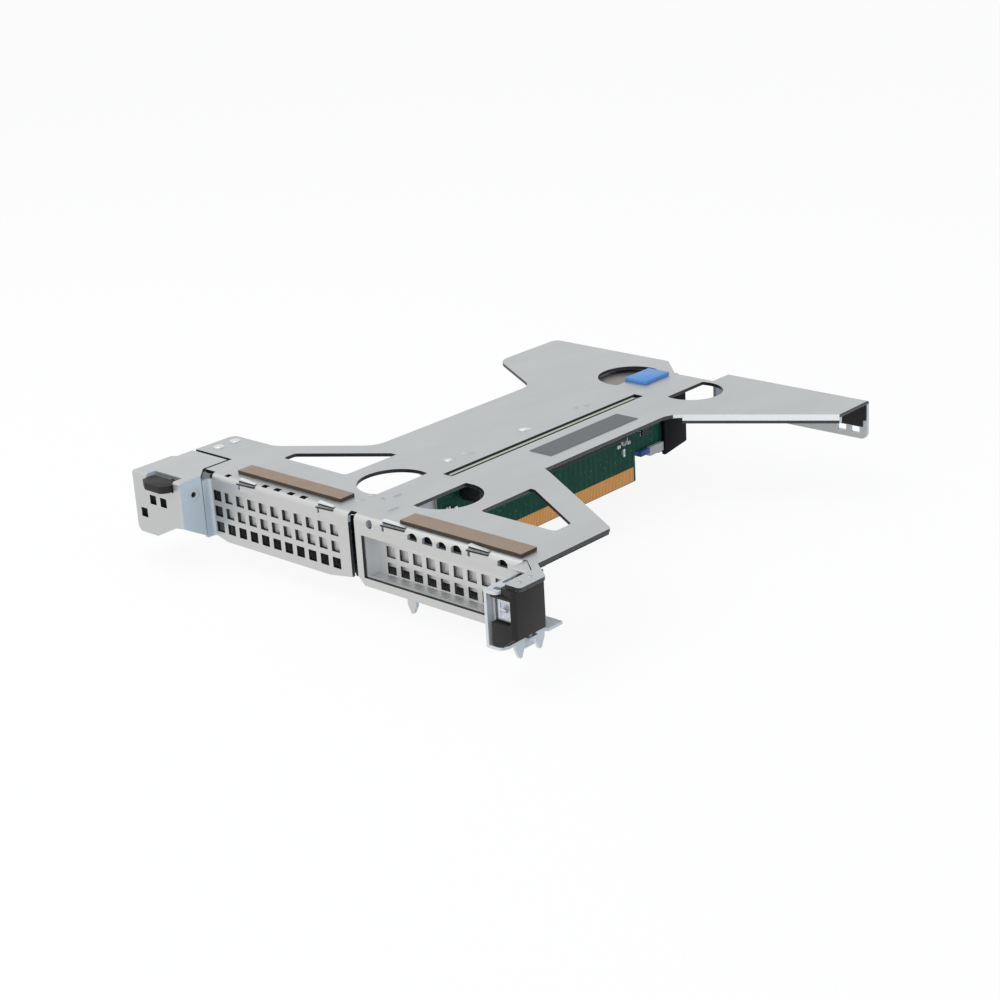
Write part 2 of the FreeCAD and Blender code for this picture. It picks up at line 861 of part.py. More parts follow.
def ear_bracket():
    """The folded box at the left end, with the lug that is riveted under the plate."""
    body = new_body("ear_bracket")
    solid(body, "z", plate_under, zero, [
        (-v.ear_left, -v.ear_front),
        (-v.ear_right, -v.ear_front),
        (-v.ear_right, -v.ear_side_rear),
        (-v.ear_neck, v.ear_neck_front),
        (-v.ear_neck, v.ear_rear),
        (-(v.ear_left - v.ear_step), v.ear_rear),
        (-(v.ear_left - v.ear_step), v.ear_step_rear),
        (-v.ear_left, v.ear_step_rear - v.wall),
    ])
    front_inner = v.wall - v.ear_front
    solid(body, "y", -v.ear_front, front_inner, [
        (-v.ear_left, zero),
        (-v.ear_left, v.ear_chamfer - v.ear_depth),
        (-(v.ear_left - v.ear_chamfer), -v.ear_depth),
        (-v.ear_foot_right, -v.ear_depth),
        (-v.ear_slope_end, -v.ear_slope_depth),
        (-v.ear_right, -v.ear_side_depth),
        (-v.ear_right, zero),
    ])
    left_inner = -(v.ear_left - v.wall)
    solid(body, "x", -v.ear_left, left_inner, rectangle(
        -v.ear_front, v.ear_step_rear - v.wall, v.ear_chamfer - v.ear_depth, zero))
    right_inner = -(v.ear_right + v.wall)
    solid(body, "x", right_inner, -v.ear_right, [
        (-v.ear_front, zero),
        (-v.ear_front, -v.ear_side_depth),
        (-v.ear_side_rear, -v.ear_side_rear_depth),
        (-v.ear_side_rear, zero),
    ])

    # Lug under the plate
    solid(body, "z", plate_under * 2, zero, rectangle(
        -(v.ear_left - v.ear_step), -v.ear_neck, v.ear_rear - v.wall, v.ear_rear))
    solid(body, "z", plate_under * 2, plate_under, rectangle(
        -(v.ear_left - v.ear_step) + v.wall, -(v.ear_neck + v.wall), v.ear_rear, v.ear_lug_rear))

    # Lugs for the latch pin
    for side_low in (-(v.lever_left + v.clearance + v.wall), -(v.lever_right - v.clearance)):
        solid(body, "x", side_low, side_low + v.wall, rectangle(
            v.lug_front, v.lug_rear, -v.lug_depth, plate_under))

    dress(body, "Fillet", "z", v.ear_round, (-v.ear_left, -v.ear_front))
    dress(body, "Fillet", "x", v.ear_round, (-v.ear_front, zero))

    # Notch for the latch lip, vents, screw hole and rivet holes
    notch_left, notch_right = -(v.lip_left + v.clearance), -(v.lip_right - v.clearance)
    cut(body, "z", -v.ear_notch_depth, v.clearance, rectangle(
        notch_left, notch_right, -v.ear_front - v.clearance, -v.ear_notch_rear))
    vent_bottom = -(v.ear_vent_top + v.ear_vent)
    upper = [
        rectangle(-v.ear_vent_left + v.ear_vent_pitch * number,
                  -v.ear_vent_left + v.ear_vent_pitch * number + v.ear_vent,
                  vent_bottom, -v.ear_vent_top) for number in range(2)]
    lower = rectangle(-v.ear_vent_left - v.ear_vent_pitch,
                      -v.ear_vent_left - v.ear_vent_pitch + v.ear_vent,
                      vent_bottom - v.ear_vent_drop, -v.ear_vent_top - v.ear_vent_drop)
    cut(body, "y", -v.ear_front - v.clearance, front_inner + v.clearance, *upper, lower)
    cut(body, "x", -v.ear_right - v.ear_dimple_depth, -v.ear_right + v.clearance, (
        "circle", -v.ear_screw_front, -v.ear_screw_depth, v.ear_dimple_radius))
    cut(body, "x", right_inner - v.clearance, -v.ear_right + v.clearance, (
        "circle", -v.ear_screw_front, -v.ear_screw_depth, v.ear_screw_radius))
    cut(body, "z", plate_under * 2 - v.clearance, plate_under + v.clearance, *[
        ("circle", -v.ear_rivet_left, v.ear_rivet_first + v.ear_rivet_pitch * number,
         v.ear_rivet_radius + v.fit) for number in range(2)])
    lug_left = -(v.lever_left + v.clearance + v.wall)
    lug_right = -(v.lever_right - v.clearance - v.wall)
    cut(body, "x", lug_left - v.clearance, lug_right + v.clearance, (
        "circle", v.ear_pin_rear, -v.ear_pin_depth, v.ear_pin_radius + v.fit))
    return body


def ear_rivets():
    """Rivets with low domed heads, through the plate and the ear's lug."""
    body = new_body("ear_rivets")
    places = [(-v.ear_rivet_left, v.ear_rivet_first + v.ear_rivet_pitch * number)
              for number in range(2)]
    solid(body, "z", plate_under * 2, zero, *[
        ("circle", x, y, v.ear_rivet_radius) for x, y in places])
    solid(body, "z", zero, v.ear_rivet_rise, *[
        ("circle", x, y, v.ear_rivet_head) for x, y in places])
    return body


def ear_latch():
    """Black lever in the ear, with the finger lip that shows at the front."""
    body = new_body("ear_latch")
    rise_rear = -v.lever_rise_front + v.lever_wall
    arm_bottom = -(v.ear_pin_depth + v.lever_wall / 2)
    solid(body, "x", -v.lever_left, -v.lever_right, [
        (-v.lever_rise_front, arm_bottom),
        (v.ear_pin_rear, arm_bottom),
        (v.ear_pin_rear, arm_bottom + v.lever_wall),
        (rise_rear, arm_bottom + v.lever_wall),
        (rise_rear, -v.lip_top),
        (-v.lever_rise_front, -v.lip_top),
    ])
    solid(body, "z", -v.lip_bottom, -v.lip_top, [
        (-v.lip_left, rise_rear),
        (-v.lip_left, -v.ear_front - v.lip_round),
        (-(v.lip_left - v.lip_round * 2), -v.lip_front),
        (-(v.lip_right + v.lip_round), -v.lip_front),
        (-v.lip_right, -v.ear_front - v.lip_round),
        (-v.lip_right, rise_rear),
    ])
    solid(body, "x", -v.lever_left, -v.lever_right, (
        "circle", v.ear_pin_rear, -v.ear_pin_depth, v.lever_boss))
    cut(body, "x", -v.lever_left - v.clearance, -v.lever_right + v.clearance, (
        "circle", v.ear_pin_rear, -v.ear_pin_depth, v.ear_pin_radius + v.fit))
    dress(body, "Fillet", "z", v.lip_round, (-(v.lip_left - v.lip_round * 2), -v.lip_front),
          (-(v.lip_right + v.lip_round), -v.lip_front))
    return body


def ear_latch_pin():
    pin = doc.addObject("Part::Cylinder", "ear_latch_pin")
    bind(pin, "Radius", v.ear_pin_radius)
    low = -(v.lever_left + v.clearance + v.wall)
    high = -(v.lever_right - v.clearance - v.wall)
    bind(pin, "Height", high - low)
    pin.Placement.Rotation = FreeCAD.Rotation(FreeCAD.Vector(0, 1, 0), 90)
    pin.Label = "ear_latch_pin"
    bind(pin, "Placement.Base.x", shift_x + low)
    bind(pin, "Placement.Base.y", shift_y + v.ear_pin_rear)
    bind(pin, "Placement.Base.z", shift_z - v.ear_pin_depth)
    nodes.append(pin)
    return pin


def end_bracket():
    """Channel at the right end: wall, short top flange, floor with two prongs and a foot."""
    body = new_body("end_bracket")
    inner = v.end_wall + v.thin_wall
    floor_top = v.thin_wall - v.end_bottom
    solid(body, "x", v.end_wall, inner, [
        (-v.end_front, -v.end_bottom),
        (-v.end_tab_front, -v.end_bottom),
        (-v.end_tab_front, -v.end_tab_depth),
        (v.end_tab_rear, -v.end_tab_depth),
        (v.end_tab_rear, -v.end_bottom),
        (v.end_rear, -v.end_bottom),
        (v.end_rear, plate_under),
        (v.fold + v.clearance, plate_under),
        (v.fold + v.clearance, -v.end_top),
        (-v.end_front, -v.end_top),
    ])
    solid(body, "z", -v.end_top - v.thin_wall, -v.end_top, rectangle(
        v.end_wall, v.end_flange_right, -v.end_front, -v.end_flange_rear))
    solid(body, "z", -v.end_bottom, floor_top, [
        (v.end_wall, -v.end_front),
        (v.end_flange_right, -v.end_front),
        (v.end_floor_right, -v.end_hole_across),
        (v.end_floor_right, -v.pivot_front - v.prong_width / 2),
        (v.pivot_right + v.pivot_radius * 2, -v.pivot_front - v.prong_width / 2),
        (v.pivot_right + v.pivot_radius * 2, -v.pivot_front + v.prong_width / 2),
        (v.end_floor_right, -v.pivot_front + v.prong_width / 2),
        (v.end_floor_right, v.foot_front - v.thin_wall),
        (v.foot_right, v.foot_front),
        (v.foot_right, v.foot_rear),
        (v.end_wall, v.foot_rear),
    ])
    prong = solid(body, "x", v.end_floor_right - v.thin_wall, v.end_floor_right, [
        (-v.prong_front, -v.end_bottom),
        *pointed(-v.prong_front, v.prong_width - v.prong_front, -v.prong_depth,
                 v.prong_taper, v.prong_tip),
        (v.prong_width - v.prong_front, -v.end_bottom),
    ])
    repeat(body, prong, "y", v.prong_pitch, as_size(2))

    # Lug welded under the plate, behind the latch
    solid(body, "z", plate_under - v.thin_wall, plate_under, rectangle(
        v.end_wall, v.end_flange_right - v.thin_wall, v.fold + v.clearance, v.end_rear))
    dress(body, "Fillet", "z", v.thin_wall * 2, (v.end_flange_right, -v.end_front))
    cut(body, "z", -v.end_top - v.thin_wall - v.clearance, -v.end_top + v.clearance, rectangle(
        v.end_hole_along - v.end_hole_width / 2, v.end_hole_along + v.end_hole_width / 2,
        -v.end_hole_across - v.end_hole_length / 2, -v.end_hole_across + v.end_hole_length / 2))
    hole_half = v.end_hole_length / 2
    left, right = v.end_hole_along - v.end_hole_width / 2, v.end_hole_along + v.end_hole_width / 2
    dress(body, "Fillet", "z", v.end_hole_round,
          (left, -v.end_hole_across - hole_half), (right, -v.end_hole_across - hole_half),
          (left, -v.end_hole_across + hole_half), (right, -v.end_hole_across + hole_half))
    cut(body, "z", -v.end_bottom - v.clearance, floor_top + v.clearance, (
        "circle", v.pivot_right, -v.pivot_front, v.pivot_radius + v.fit))
    return body


def end_latch():
    """Black card latch that swings about the upright pin at its rear left corner."""
    body = new_body("end_latch")
    bottom = v.thin_wall - v.end_bottom + v.clearance
    under_flange = -(v.end_top + v.thin_wall + v.clearance)
    top = plate_under - v.clearance
    boss_left = v.pivot_right - v.pivot_boss
    chamfer_x = v.latch_right - v.latch_chamfer
    solid(body, "z", bottom, under_flange, [
        (v.latch_left, -v.latch_front),
        (chamfer_x, -v.latch_front),
        (v.latch_right, v.latch_chamfer - v.latch_front),
        (v.latch_right, -v.latch_rear),
        (v.pivot_right, -v.latch_rear),
        (boss_left, -v.pivot_front),
        (boss_left, -v.latch_neck),
        (v.latch_left, -v.latch_neck),
    ])
    crown_left = v.end_flange_right + v.clearance
    solid(body, "z", under_flange, top, [
        (crown_left, -v.cover_front),
        (chamfer_x, -v.latch_front + v.clearance),
        (v.latch_right, v.latch_chamfer - v.latch_front),
        (v.latch_right, -v.latch_rear),
        (crown_left, -v.latch_rear),
    ])
    solid(body, "z", bottom, top, ("circle", v.pivot_right, -v.pivot_front, v.pivot_boss))
    cut(body, "y", -v.latch_front - v.clearance, -v.latch_window_rear, rectangle(
        v.latch_left - v.clearance, v.latch_window_right,
        -v.latch_window_bottom, -v.latch_window_top))
    dress(body, "Fillet", "y", v.latch_chamfer, (v.latch_window_right, -v.latch_window_bottom))
    cut(body, "y", -v.latch_front - v.clearance, v.clearance, [
        (v.latch_slope_left, bottom - v.clearance),
        (v.latch_right + v.clearance, bottom - v.clearance),
        (v.latch_right + v.clearance, -v.latch_side_depth),
        (v.latch_slope_right, -v.latch_side_depth),
        (v.latch_slope_left, bottom),
    ])
    cut(body, "z", bottom - v.clearance, top + v.clearance, (
        "circle", v.pivot_right, -v.pivot_front, v.pivot_radius + v.fit))
    return body


def end_latch_pin():
    pin = doc.addObject("Part::Cylinder", "end_latch_pin")
    bind(pin, "Radius", v.pivot_radius)
    bind(pin, "Height", v.end_bottom - v.wall)
    pin.Label = "end_latch_pin"
    bind(pin, "Placement.Base.x", shift_x + v.pivot_right)
    bind(pin, "Placement.Base.y", shift_y - v.pivot_front)
    bind(pin, "Placement.Base.z", shift_z - v.end_bottom)
    nodes.append(pin)
    return pin


def right_filler():
    """Perforated slot filler with its bent tab, which the end latch holds."""
    body = new_body("right_filler")
    back = v.filler_set_back + v.filler_wall
    left = v.filler_left
    tab_left = v.end_wall + v.thin_wall + v.clearance
    tab_right = tab_left + v.filler_wall
    step = v.frame_right - v.clearance
    solid(body, "y", v.filler_set_back, back, [
        (left, -v.filler_bottom),
        (step, -v.filler_bottom),
        (step, -v.filler_step),
        (tab_right, -v.filler_step),
        (tab_right, -v.filler_top),
        (left, -v.filler_top),
    ])
    solid(body, "x", left, left + v.filler_wall, rectangle(
        face_inner + v.clearance, back, -v.filler_bottom, -v.filler_top))
    solid(body, "z", -v.filler_bottom, v.filler_wall - v.filler_bottom, rectangle(
        left, step, v.filler_ledge_front, back))
    notch_rear = v.filler_notch_length - v.filler_notch_front
    solid(body, "x", tab_left, tab_right, rectangle(
        -v.filler_tab_front, back, -v.filler_tab_bottom, -v.filler_top))
    cut(body, "x", tab_left - v.clearance, tab_right + v.clearance, rectangle(
        -v.filler_notch_front, notch_rear,
        -(v.filler_notch_top + v.filler_notch_height), -v.filler_notch_top))
    rows = []
    for number in range(SIZES["vent_rows"]):
        upper = -(v.vent_top + v.vent_row_pitch * number)
        rows.append(rectangle(v.filler_vent_first, v.filler_vent_first + v.filler_vent,
                              upper - v.filler_vent, upper))
    vents = cut(body, "y", v.filler_set_back - v.clearance, back + v.clearance, *rows)
    repeat(body, vents, "x", v.filler_vent_pitch, v.filler_vent_columns)
    return body


def blank(label, left, right, front, depth):
    """Sheet behind the vents, hung from the plate by its own flange."""
    body = new_body(label)
    solid(body, "x", left, right, [
        (front, plate_under),
        (front, -depth),
        (front + v.panel_wall, -depth),
        (front + v.panel_wall, plate_under - v.panel_wall),
        (front + v.blank_flange, plate_under - v.panel_wall),
        (front + v.blank_flange, plate_under),
    ])
    return body


def vent_films():
    """Black film behind the lower vents of both bays, and under the slots of the right fold."""
    top = plate_under - v.panel_wall
    left = new_body("left_film")
    front = v.left_blank_front + v.panel_wall
    solid(left, "y", front, front + v.film_wall, [
        (-v.vent_film_left, top),
        (-v.vent_film_left, -v.left_blank_depth),
        (-v.left_blank_left, -v.left_blank_depth),
        (-v.left_blank_left, -v.vent_film_depth),
        (-v.left_blank_right, -v.vent_film_depth),
        (-v.left_blank_right, top),
    ])
    right = new_body("right_film")
    front = v.right_blank_front + v.panel_wall
    solid(right, "y", front, front + v.film_wall, rectangle(
        v.right_blank_left, v.right_blank_right, -v.vent_film_depth, top))
    strip = new_body("fold_film")
    front = v.fold + v.fit
    solid(strip, "x", v.fold_film_left, v.fold_film_right, [
        (front, plate_under),
        (front, -v.fold_film_depth),
        (front + v.film_wall, -v.fold_film_depth),
        (front + v.film_wall, plate_under - v.film_wall),
        (v.fold_film_rear, plate_under - v.film_wall),
        (v.fold_film_rear, plate_under),
    ])


def bay_divider():
    """Sheet between the bays that carries the front of the board."""
    body = new_body("bay_divider")
    solid(body, "x", bed_left, -board_half, [
        (v.divider_front, plate_under),
        (v.divider_front, -v.divider_nose),
        (v.divider_step_rear, -v.divider_step),
        (v.divider_step_rear, -v.bracket_depth),
        (v.divider_rear, -v.bracket_depth),
        (v.divider_rear, plate_under),
    ])
    solid(body, "z", plate_under - v.thin_wall, plate_under, rectangle(
        -v.divider_flange_left, -board_half, v.divider_flange_front, v.divider_flange_rear))
    cut(body, "x", bed_left - v.clearance, -board_half + v.clearance, (
        "circle", v.board_screw_front, -v.board_screw_depth, v.board_screw_radius + v.fit))
    return body


def board_bracket():
    """Angle riveted under the plate, with a lug at each end of the connectors."""
    body = new_body("board_bracket")
    solid(body, "z", plate_under - v.panel_wall, plate_under, rectangle(
        -v.bracket_left, -board_half, v.bracket_front, v.bracket_rear))
    solid(body, "x", bed_left, -board_half,
          rectangle(v.bracket_front, v.bracket_front + v.bracket_lug_length,
                    -v.bracket_depth, plate_under),
          rectangle(v.bracket_lug_rear, v.bracket_rear, -v.bracket_depth, plate_under))
    cut(body, "x", bed_left - v.clearance, -board_half + v.clearance, (
        "circle", v.board_screw_rear, -v.board_screw_depth, v.board_screw_radius + v.fit))
    cut(body, "z", plate_under - v.panel_wall - v.clearance, plate_under + v.clearance, *[
        ("circle", -v.plate_rivet_left, v.plate_rivet_first + v.plate_rivet_pitch * number,
         v.plate_rivet_radius + v.fit) for number in range(3)])
    return body


def bracket_rivets():
    """Flush rivets of the board bracket."""
    body = new_body("bracket_rivets")
    solid(body, "z", plate_under - v.panel_wall, zero, *[
        ("circle", -v.plate_rivet_left, v.plate_rivet_first + v.plate_rivet_pitch * number,
         v.plate_rivet_radius) for number in range(3)])
    return body


def board_screws():
    """Screws through the board into the divider and the bracket."""
    body = new_body("board_screws")
    places = [(v.board_screw_front, -v.board_screw_depth), (v.board_screw_rear, -v.board_screw_depth)]
    solid(body, "x", bed_left, board_half, *[
        ("circle", y, z, v.board_screw_radius) for y, z in places])
    solid(body, "x", board_half, board_half + v.board_screw_rise, *[
        ("circle", y, z, v.board_screw_head) for y, z in places])
    return body


def riser_board():
    """Circuit board with its crest in the slot and its card-edge tongue below."""
    body = new_body("riser_board")
    key_top = v.key_height - v.edge_depth
    solid(body, "x", -board_half, board_half, [
        (v.board_front, -v.board_bottom),
        (v.edge_front, -v.board_bottom),
        (v.edge_front, -v.edge_depth),
        (v.key_rear - v.key_width, -v.edge_depth),
        (v.key_rear - v.key_width, key_top),
        (v.key_rear, key_top),
        (v.key_rear, -v.edge_depth),
        (v.edge_rear, -v.edge_depth),
        (v.edge_rear, -v.board_bottom),
        (v.board_rear, -v.board_bottom),
        (v.board_rear, -v.board_top),
        (v.crest_rear, -v.board_top),
        (v.crest_rear, -v.board_crest),
        (v.crest_front, -v.board_crest),
        (v.crest_front, -v.board_top),
        (v.board_front, -v.board_top),
    ])
    dress(body, "Chamfer", "y", v.edge_chamfer, (-board_half, -v.edge_depth),
          (board_half, -v.edge_depth))
    cut(body, "x", -board_half - v.clearance, board_half + v.clearance, *[
        ("circle", y, -v.board_screw_depth, v.board_screw_radius + v.fit)
        for y in (v.board_screw_front, v.board_screw_rear)])
    return body


def edge_contacts():
    """Gold contacts on both sides of the tongue, on both sides of its key."""
    body = new_body("edge_contacts")
    low = v.edge_chamfer - v.edge_depth + v.fit
    runs = [(v.edge_front + v.contact_pitch, v.key_rear - v.key_width - v.contact_pitch),
            (v.key_rear + v.contact_pitch, v.edge_rear - v.contact_pitch)]
    for side_low in (-board_half - v.contact_wall, board_half):
        for start, end in runs:
            solid(body, "x", side_low, side_low + v.contact_wall, rectangle(
                start, end, low, low + v.contact_height))
    return body


def card_connector(label, side):
    """Card socket on one face of the board, its mouth open away from the board."""
    body = new_body(label)
    near, far = board_half * side, (board_half + v.socket_reach) * side
    low, high = (near, far) if side > 0 else (far, near)
    mouth_inner = (board_half + v.socket_reach - v.socket_mouth_depth) * side
    mouth = (mouth_inner, far + v.clearance) if side > 0 else (far - v.clearance, mouth_inner)
    socket_rear = v.socket_front + v.socket_length
    bottom = -(v.socket_top + v.socket_height)
    solid(body, "x", low, high, rectangle(v.socket_front, socket_rear, bottom, -v.socket_top))
    clip_low, clip_high = (near, far / 2) if side > 0 else (far / 2, near)
    solid(body, "x", clip_low, clip_high, rectangle(
        socket_rear, socket_rear + v.socket_clip, bottom, -v.socket_top))
    middle = -(v.socket_top + v.socket_height / 2)
    half = v.socket_mouth_height / 2
    key = v.socket_front + v.socket_key
    cut(body, "x", *mouth,
        rectangle(v.socket_front + v.wall, key - v.socket_key_half, middle - half, middle + half),
        rectangle(key + v.socket_key_half, socket_rear - v.wall, middle - half, middle + half))
    return body


def board_parts():
    """Small parts soldered to both faces of the board."""
    body = new_body("board_parts")
    for side, y, depth, length, height, rise in CHIPS:
        low = board_half if side > 0 else -board_half - rise
        solid(body, "x", low, low + rise, rectangle(
            as_size(y - length / 2), as_size(y + length / 2),
            as_size(-depth - height / 2), as_size(height / 2 - depth)))
    return body


def headers():
    """Blue header and light power header under the rear of the board."""
    half = v.header_width / 2
    blue = new_body("blue_header")
    blue_rear = v.blue_front + v.blue_length
    solid(blue, "x", -half, half, rectangle(
        v.blue_front, blue_rear, -v.board_bottom - v.blue_height, -v.board_bottom))
    power = new_body("power_header")
    solid(power, "x", -half, half, rectangle(
        blue_rear + v.clearance, blue_rear + v.clearance + v.power_length,
        -v.board_bottom - v.power_height, -v.board_bottom))


def rear_guide():
    """Black guide with the groove that takes the board's rear edge."""
    body = new_body("rear_guide")
    half = v.guide_width / 2
    solid(body, "x", -half, half, [
        (v.guide_front, -v.guide_front_depth),
        (v.guide_rear, -v.guide_rear_depth),
        (v.guide_rear, plate_under),
        (v.guide_front, plate_under),
    ])
    cut(body, "z", -v.guide_front_depth - v.clearance, plate_under + v.clearance, rectangle(
        -board_half - v.fit, board_half + v.fit, v.guide_front - v.clearance, v.board_rear + v.fit))
    return body


def finger_tray():
    """Shallow tray under the rear left finger hole."""
    body = new_body("finger_tray")
    floor_top = plate_under - v.tray_gap
    solid(body, "z", floor_top - v.panel_wall, plate_under, rectangle(
        -v.tray_left, -v.tray_right, v.tray_front, v.tray_rear))
    cut(body, "z", floor_top, plate_under + v.clearance, rectangle(
        -v.tray_left + v.panel_wall, -v.tray_right - v.panel_wall,
        v.tray_front + v.panel_wall, v.tray_rear - v.panel_wall))
    return body


def touch_tab():
    """Blue touch tab that hooks round the flat side of the finger hole."""
    body = new_body("touch_tab")
    hook_left = -(v.rear_left_flat + v.tab_hook)
    hook_right = -(v.rear_left_flat + v.fit)
    under = plate_under - v.fit
    solid(body, "y", v.tab_front, v.tab_rear, [
        (hook_left, under - v.tab_hook),
        (-v.rear_left_flat + v.tab_under, under - v.tab_hook),
        (-v.rear_left_flat + v.tab_under, under),
        (hook_right, under),
        (hook_right, zero),
        (-v.tab_right, zero),
        (-v.tab_right, v.tab_rise),
        (hook_left, v.tab_rise),
    ])
    return body


def slab(label, left, right, front, rear, bottom, top):
    """A plain flat piece, such as a strip of foam or a film."""
    box = doc.addObject("Part::Box", label)
    bind(box, "Length", right - left)
    bind(box, "Width", rear - front)
    bind(box, "Height", top - bottom)
    box.Label = label
    bind(box, "Placement.Base.x", shift_x + left)
    bind(box, "Placement.Base.y", shift_y + front)
    bind(box, "Placement.Base.z", shift_z + bottom)
    nodes.append(box)
    return box


cage_plate()
ear_bracket()
ear_rivets()
ear_latch()
ear_latch_pin()
end_bracket()
end_latch()
end_latch_pin()
right_filler()
blank("left_blank", -v.left_blank_left, -v.left_blank_right, v.left_blank_front,
      v.left_blank_depth)
blank("right_blank", v.right_blank_left, v.right_blank_right, v.right_blank_front,
      v.right_blank_depth)
vent_films()
bay_divider()
board_bracket()
bracket_rivets()
board_screws()
riser_board()
edge_contacts()
card_connector("right_card_connector", 1)
card_connector("left_card_connector", -1)
board_parts()
headers()
rear_guide()
finger_tray()
touch_tab()
slab("foam_strip_left", -v.left_foam_left, -v.left_foam_right,
     v.left_foam_front, v.left_foam_front + v.left_foam_width, zero, v.foam_rise)
slab("foam_strip_right", v.right_foam_left, v.right_foam_right,
     v.right_foam_front, v.right_foam_front + v.right_foam_width, zero, v.foam_rise)
slab("name_field", v.field_left, v.field_left + v.field_width,
     v.field_front, v.field_front + v.field_length, zero, v.field_rise)
slab("arm_film", v.film_left, v.film_right,
     arm_inner - v.film_wall, arm_inner, -v.film_depth, plate_under)

doc.recompute()
for thing in doc.Objects:
    bad = [word for word in thing.State if word in ("Invalid", "Error")]
    if bad:
        raise RuntimeError(f"{thing.Label}: {bad}")
    if thing.TypeId in ("PartDesign::Pocket", "PartDesign::LinearPattern"):
        before = thing.BaseFeature.Shape.Volume
        if abs(thing.Shape.Volume - before) < 1e-6:
            raise RuntimeError(f"{thing.Label} changes nothing")

os.makedirs("parts", exist_ok=True)
for node in nodes:
    shape = node.Shape
    if shape.isNull() or not shape.isValid():
        raise RuntimeError(f"{node.Label} has no valid shape")
    shape.exportStep(f"parts/{node.Label}.step")
    print(node.Label, len(shape.Solids), round(shape.Volume, 1))
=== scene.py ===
# %% [markdown]
# This lesson dresses a folded sheet-metal riser cage from a server. The solids come in already
# built and already in place, in metres, with up along Z and the card bays facing along -Y.
# What is left to do is the camera, the light, the finishes, and the small pieces that a maker
# would see up close: foam, gold fingers, screw heads, contact springs and soldered parts.

# %% The solids
import math

import bpy
import bmesh
from mathutils import Matrix, Vector


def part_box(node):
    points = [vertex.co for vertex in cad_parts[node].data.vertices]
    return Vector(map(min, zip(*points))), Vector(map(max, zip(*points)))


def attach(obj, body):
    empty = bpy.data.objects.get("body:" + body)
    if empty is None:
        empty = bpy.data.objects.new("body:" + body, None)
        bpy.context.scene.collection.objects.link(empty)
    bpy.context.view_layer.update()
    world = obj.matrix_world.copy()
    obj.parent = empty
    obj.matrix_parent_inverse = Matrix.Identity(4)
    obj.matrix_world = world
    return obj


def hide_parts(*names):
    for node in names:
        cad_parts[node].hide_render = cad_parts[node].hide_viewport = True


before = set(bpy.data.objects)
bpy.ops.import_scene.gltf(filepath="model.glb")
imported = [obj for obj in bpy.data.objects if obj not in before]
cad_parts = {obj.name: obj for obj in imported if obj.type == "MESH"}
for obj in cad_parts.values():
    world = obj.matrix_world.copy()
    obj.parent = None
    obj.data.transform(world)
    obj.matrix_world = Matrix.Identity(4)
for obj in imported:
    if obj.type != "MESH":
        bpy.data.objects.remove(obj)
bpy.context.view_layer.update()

# %% [markdown]
# Most numbers below are the maker's own, in millimetres from the middle of the riser board and
# from the front of the bays. One helper turns them into metres in the frame of the whole object,
# so that a piece can be placed with the same numbers as its solid.

# %% From the maker's millimetres to the frame
BOARD_X, FACE_Y, PLATE_Z = 7.9, -101.05, 38.6


def place(x, y, z):
    return Vector((x + BOARD_X, y + FACE_Y, z + PLATE_Z)) / 1000


def along(y):
    return place(0, y, 0).y


print("bay face, top of plate:", place(0, 0, 0))

# %% [markdown]
# The camera stands to the right of the bays and looks down a little, as the photographer did.
# Its place and turn were worked out from the straight edges of the cage, so they are typed in
# and not aimed. A lens of 71.6 mm on a 36 mm sensor gives the mild perspective of the picture.

# %% Camera
LENS_MM, SENSOR_MM = 71.6, 36
CAMERA_AT = (0.52922, -0.57805, 0.30360)
yaw, pitch, roll = (math.radians(a) for a in (43.03, 20.45, 3.37))
forward = Vector((-math.sin(yaw) * math.cos(pitch), math.cos(yaw) * math.cos(pitch),
                  -math.sin(pitch)))
level = Vector((math.cos(yaw), math.sin(yaw), 0))
down = forward.cross(level)
across = level * math.cos(roll) + down * math.sin(roll)
downwards = down * math.cos(roll) - level * math.sin(roll)
lens = bpy.data.cameras.new("camera")
lens.lens = LENS_MM
lens.sensor_width = SENSOR_MM
lens.clip_start = 0.01
camera = bpy.data.objects.new("camera", lens)
bpy.context.scene.collection.objects.link(camera)
turn = Matrix((across, -downwards, -forward)).transposed()
camera.matrix_world = Matrix.Translation(CAMERA_AT) @ turn.to_4x4()
bpy.context.scene.camera = camera
bpy.context.scene.view_settings.view_transform = "Standard"
print("camera looks along", [round(c, 3) for c in forward])

# %% [markdown]
# A node tree is easier to read in code when one line adds one node. The helper below adds a
# node, sets its options, and fills its inputs with plain values or with links. Three more do
# a sum, a product and a mix of two colours.

# %% One line for one node


def fill(tree, socket, value):
    if isinstance(value, bpy.types.NodeSocket):
        tree.links.new(value, socket)
    else:
        socket.default_value = value


def put(tree, kind, inputs=None, **options):
    made = tree.nodes.new(kind)
    for name, value in options.items():
        setattr(made, name, value)
    for name, value in (inputs or {}).items():
        fill(tree, made.inputs[name], value)
    return made


def maths(tree, operation, first, second=0.0, clamp=False):
    made = put(tree, "ShaderNodeMath", {0: first, 1: second}, operation=operation)
    made.use_clamp = clamp
    return made.outputs[0]


def times(tree, first, second):
    return maths(tree, "MULTIPLY", first, second)


def mixed(tree, factor, first, second):
    made = put(tree, "ShaderNodeMix", data_type="RGBA")
    for name, value in (("Factor_Float", factor), ("A_Color", first), ("B_Color", second)):
        fill(tree, next(s for s in made.inputs if s.identifier == name), value)
    return next(s for s in made.outputs if s.identifier == "Result_Color")


print("helpers ready")

# %% [markdown]
# The picture was taken on white under soft lamps, and shows almost no shadow. The floor is a
# large pale sheet. The world is a white room for the camera and for mirrors, so that steel has
# something bright to reflect, and a little dimmer for the light that falls on the object.
# Three large soft lamps do the rest. The one on the right is slightly blue, because every face
# that points right looks bluish in the picture.

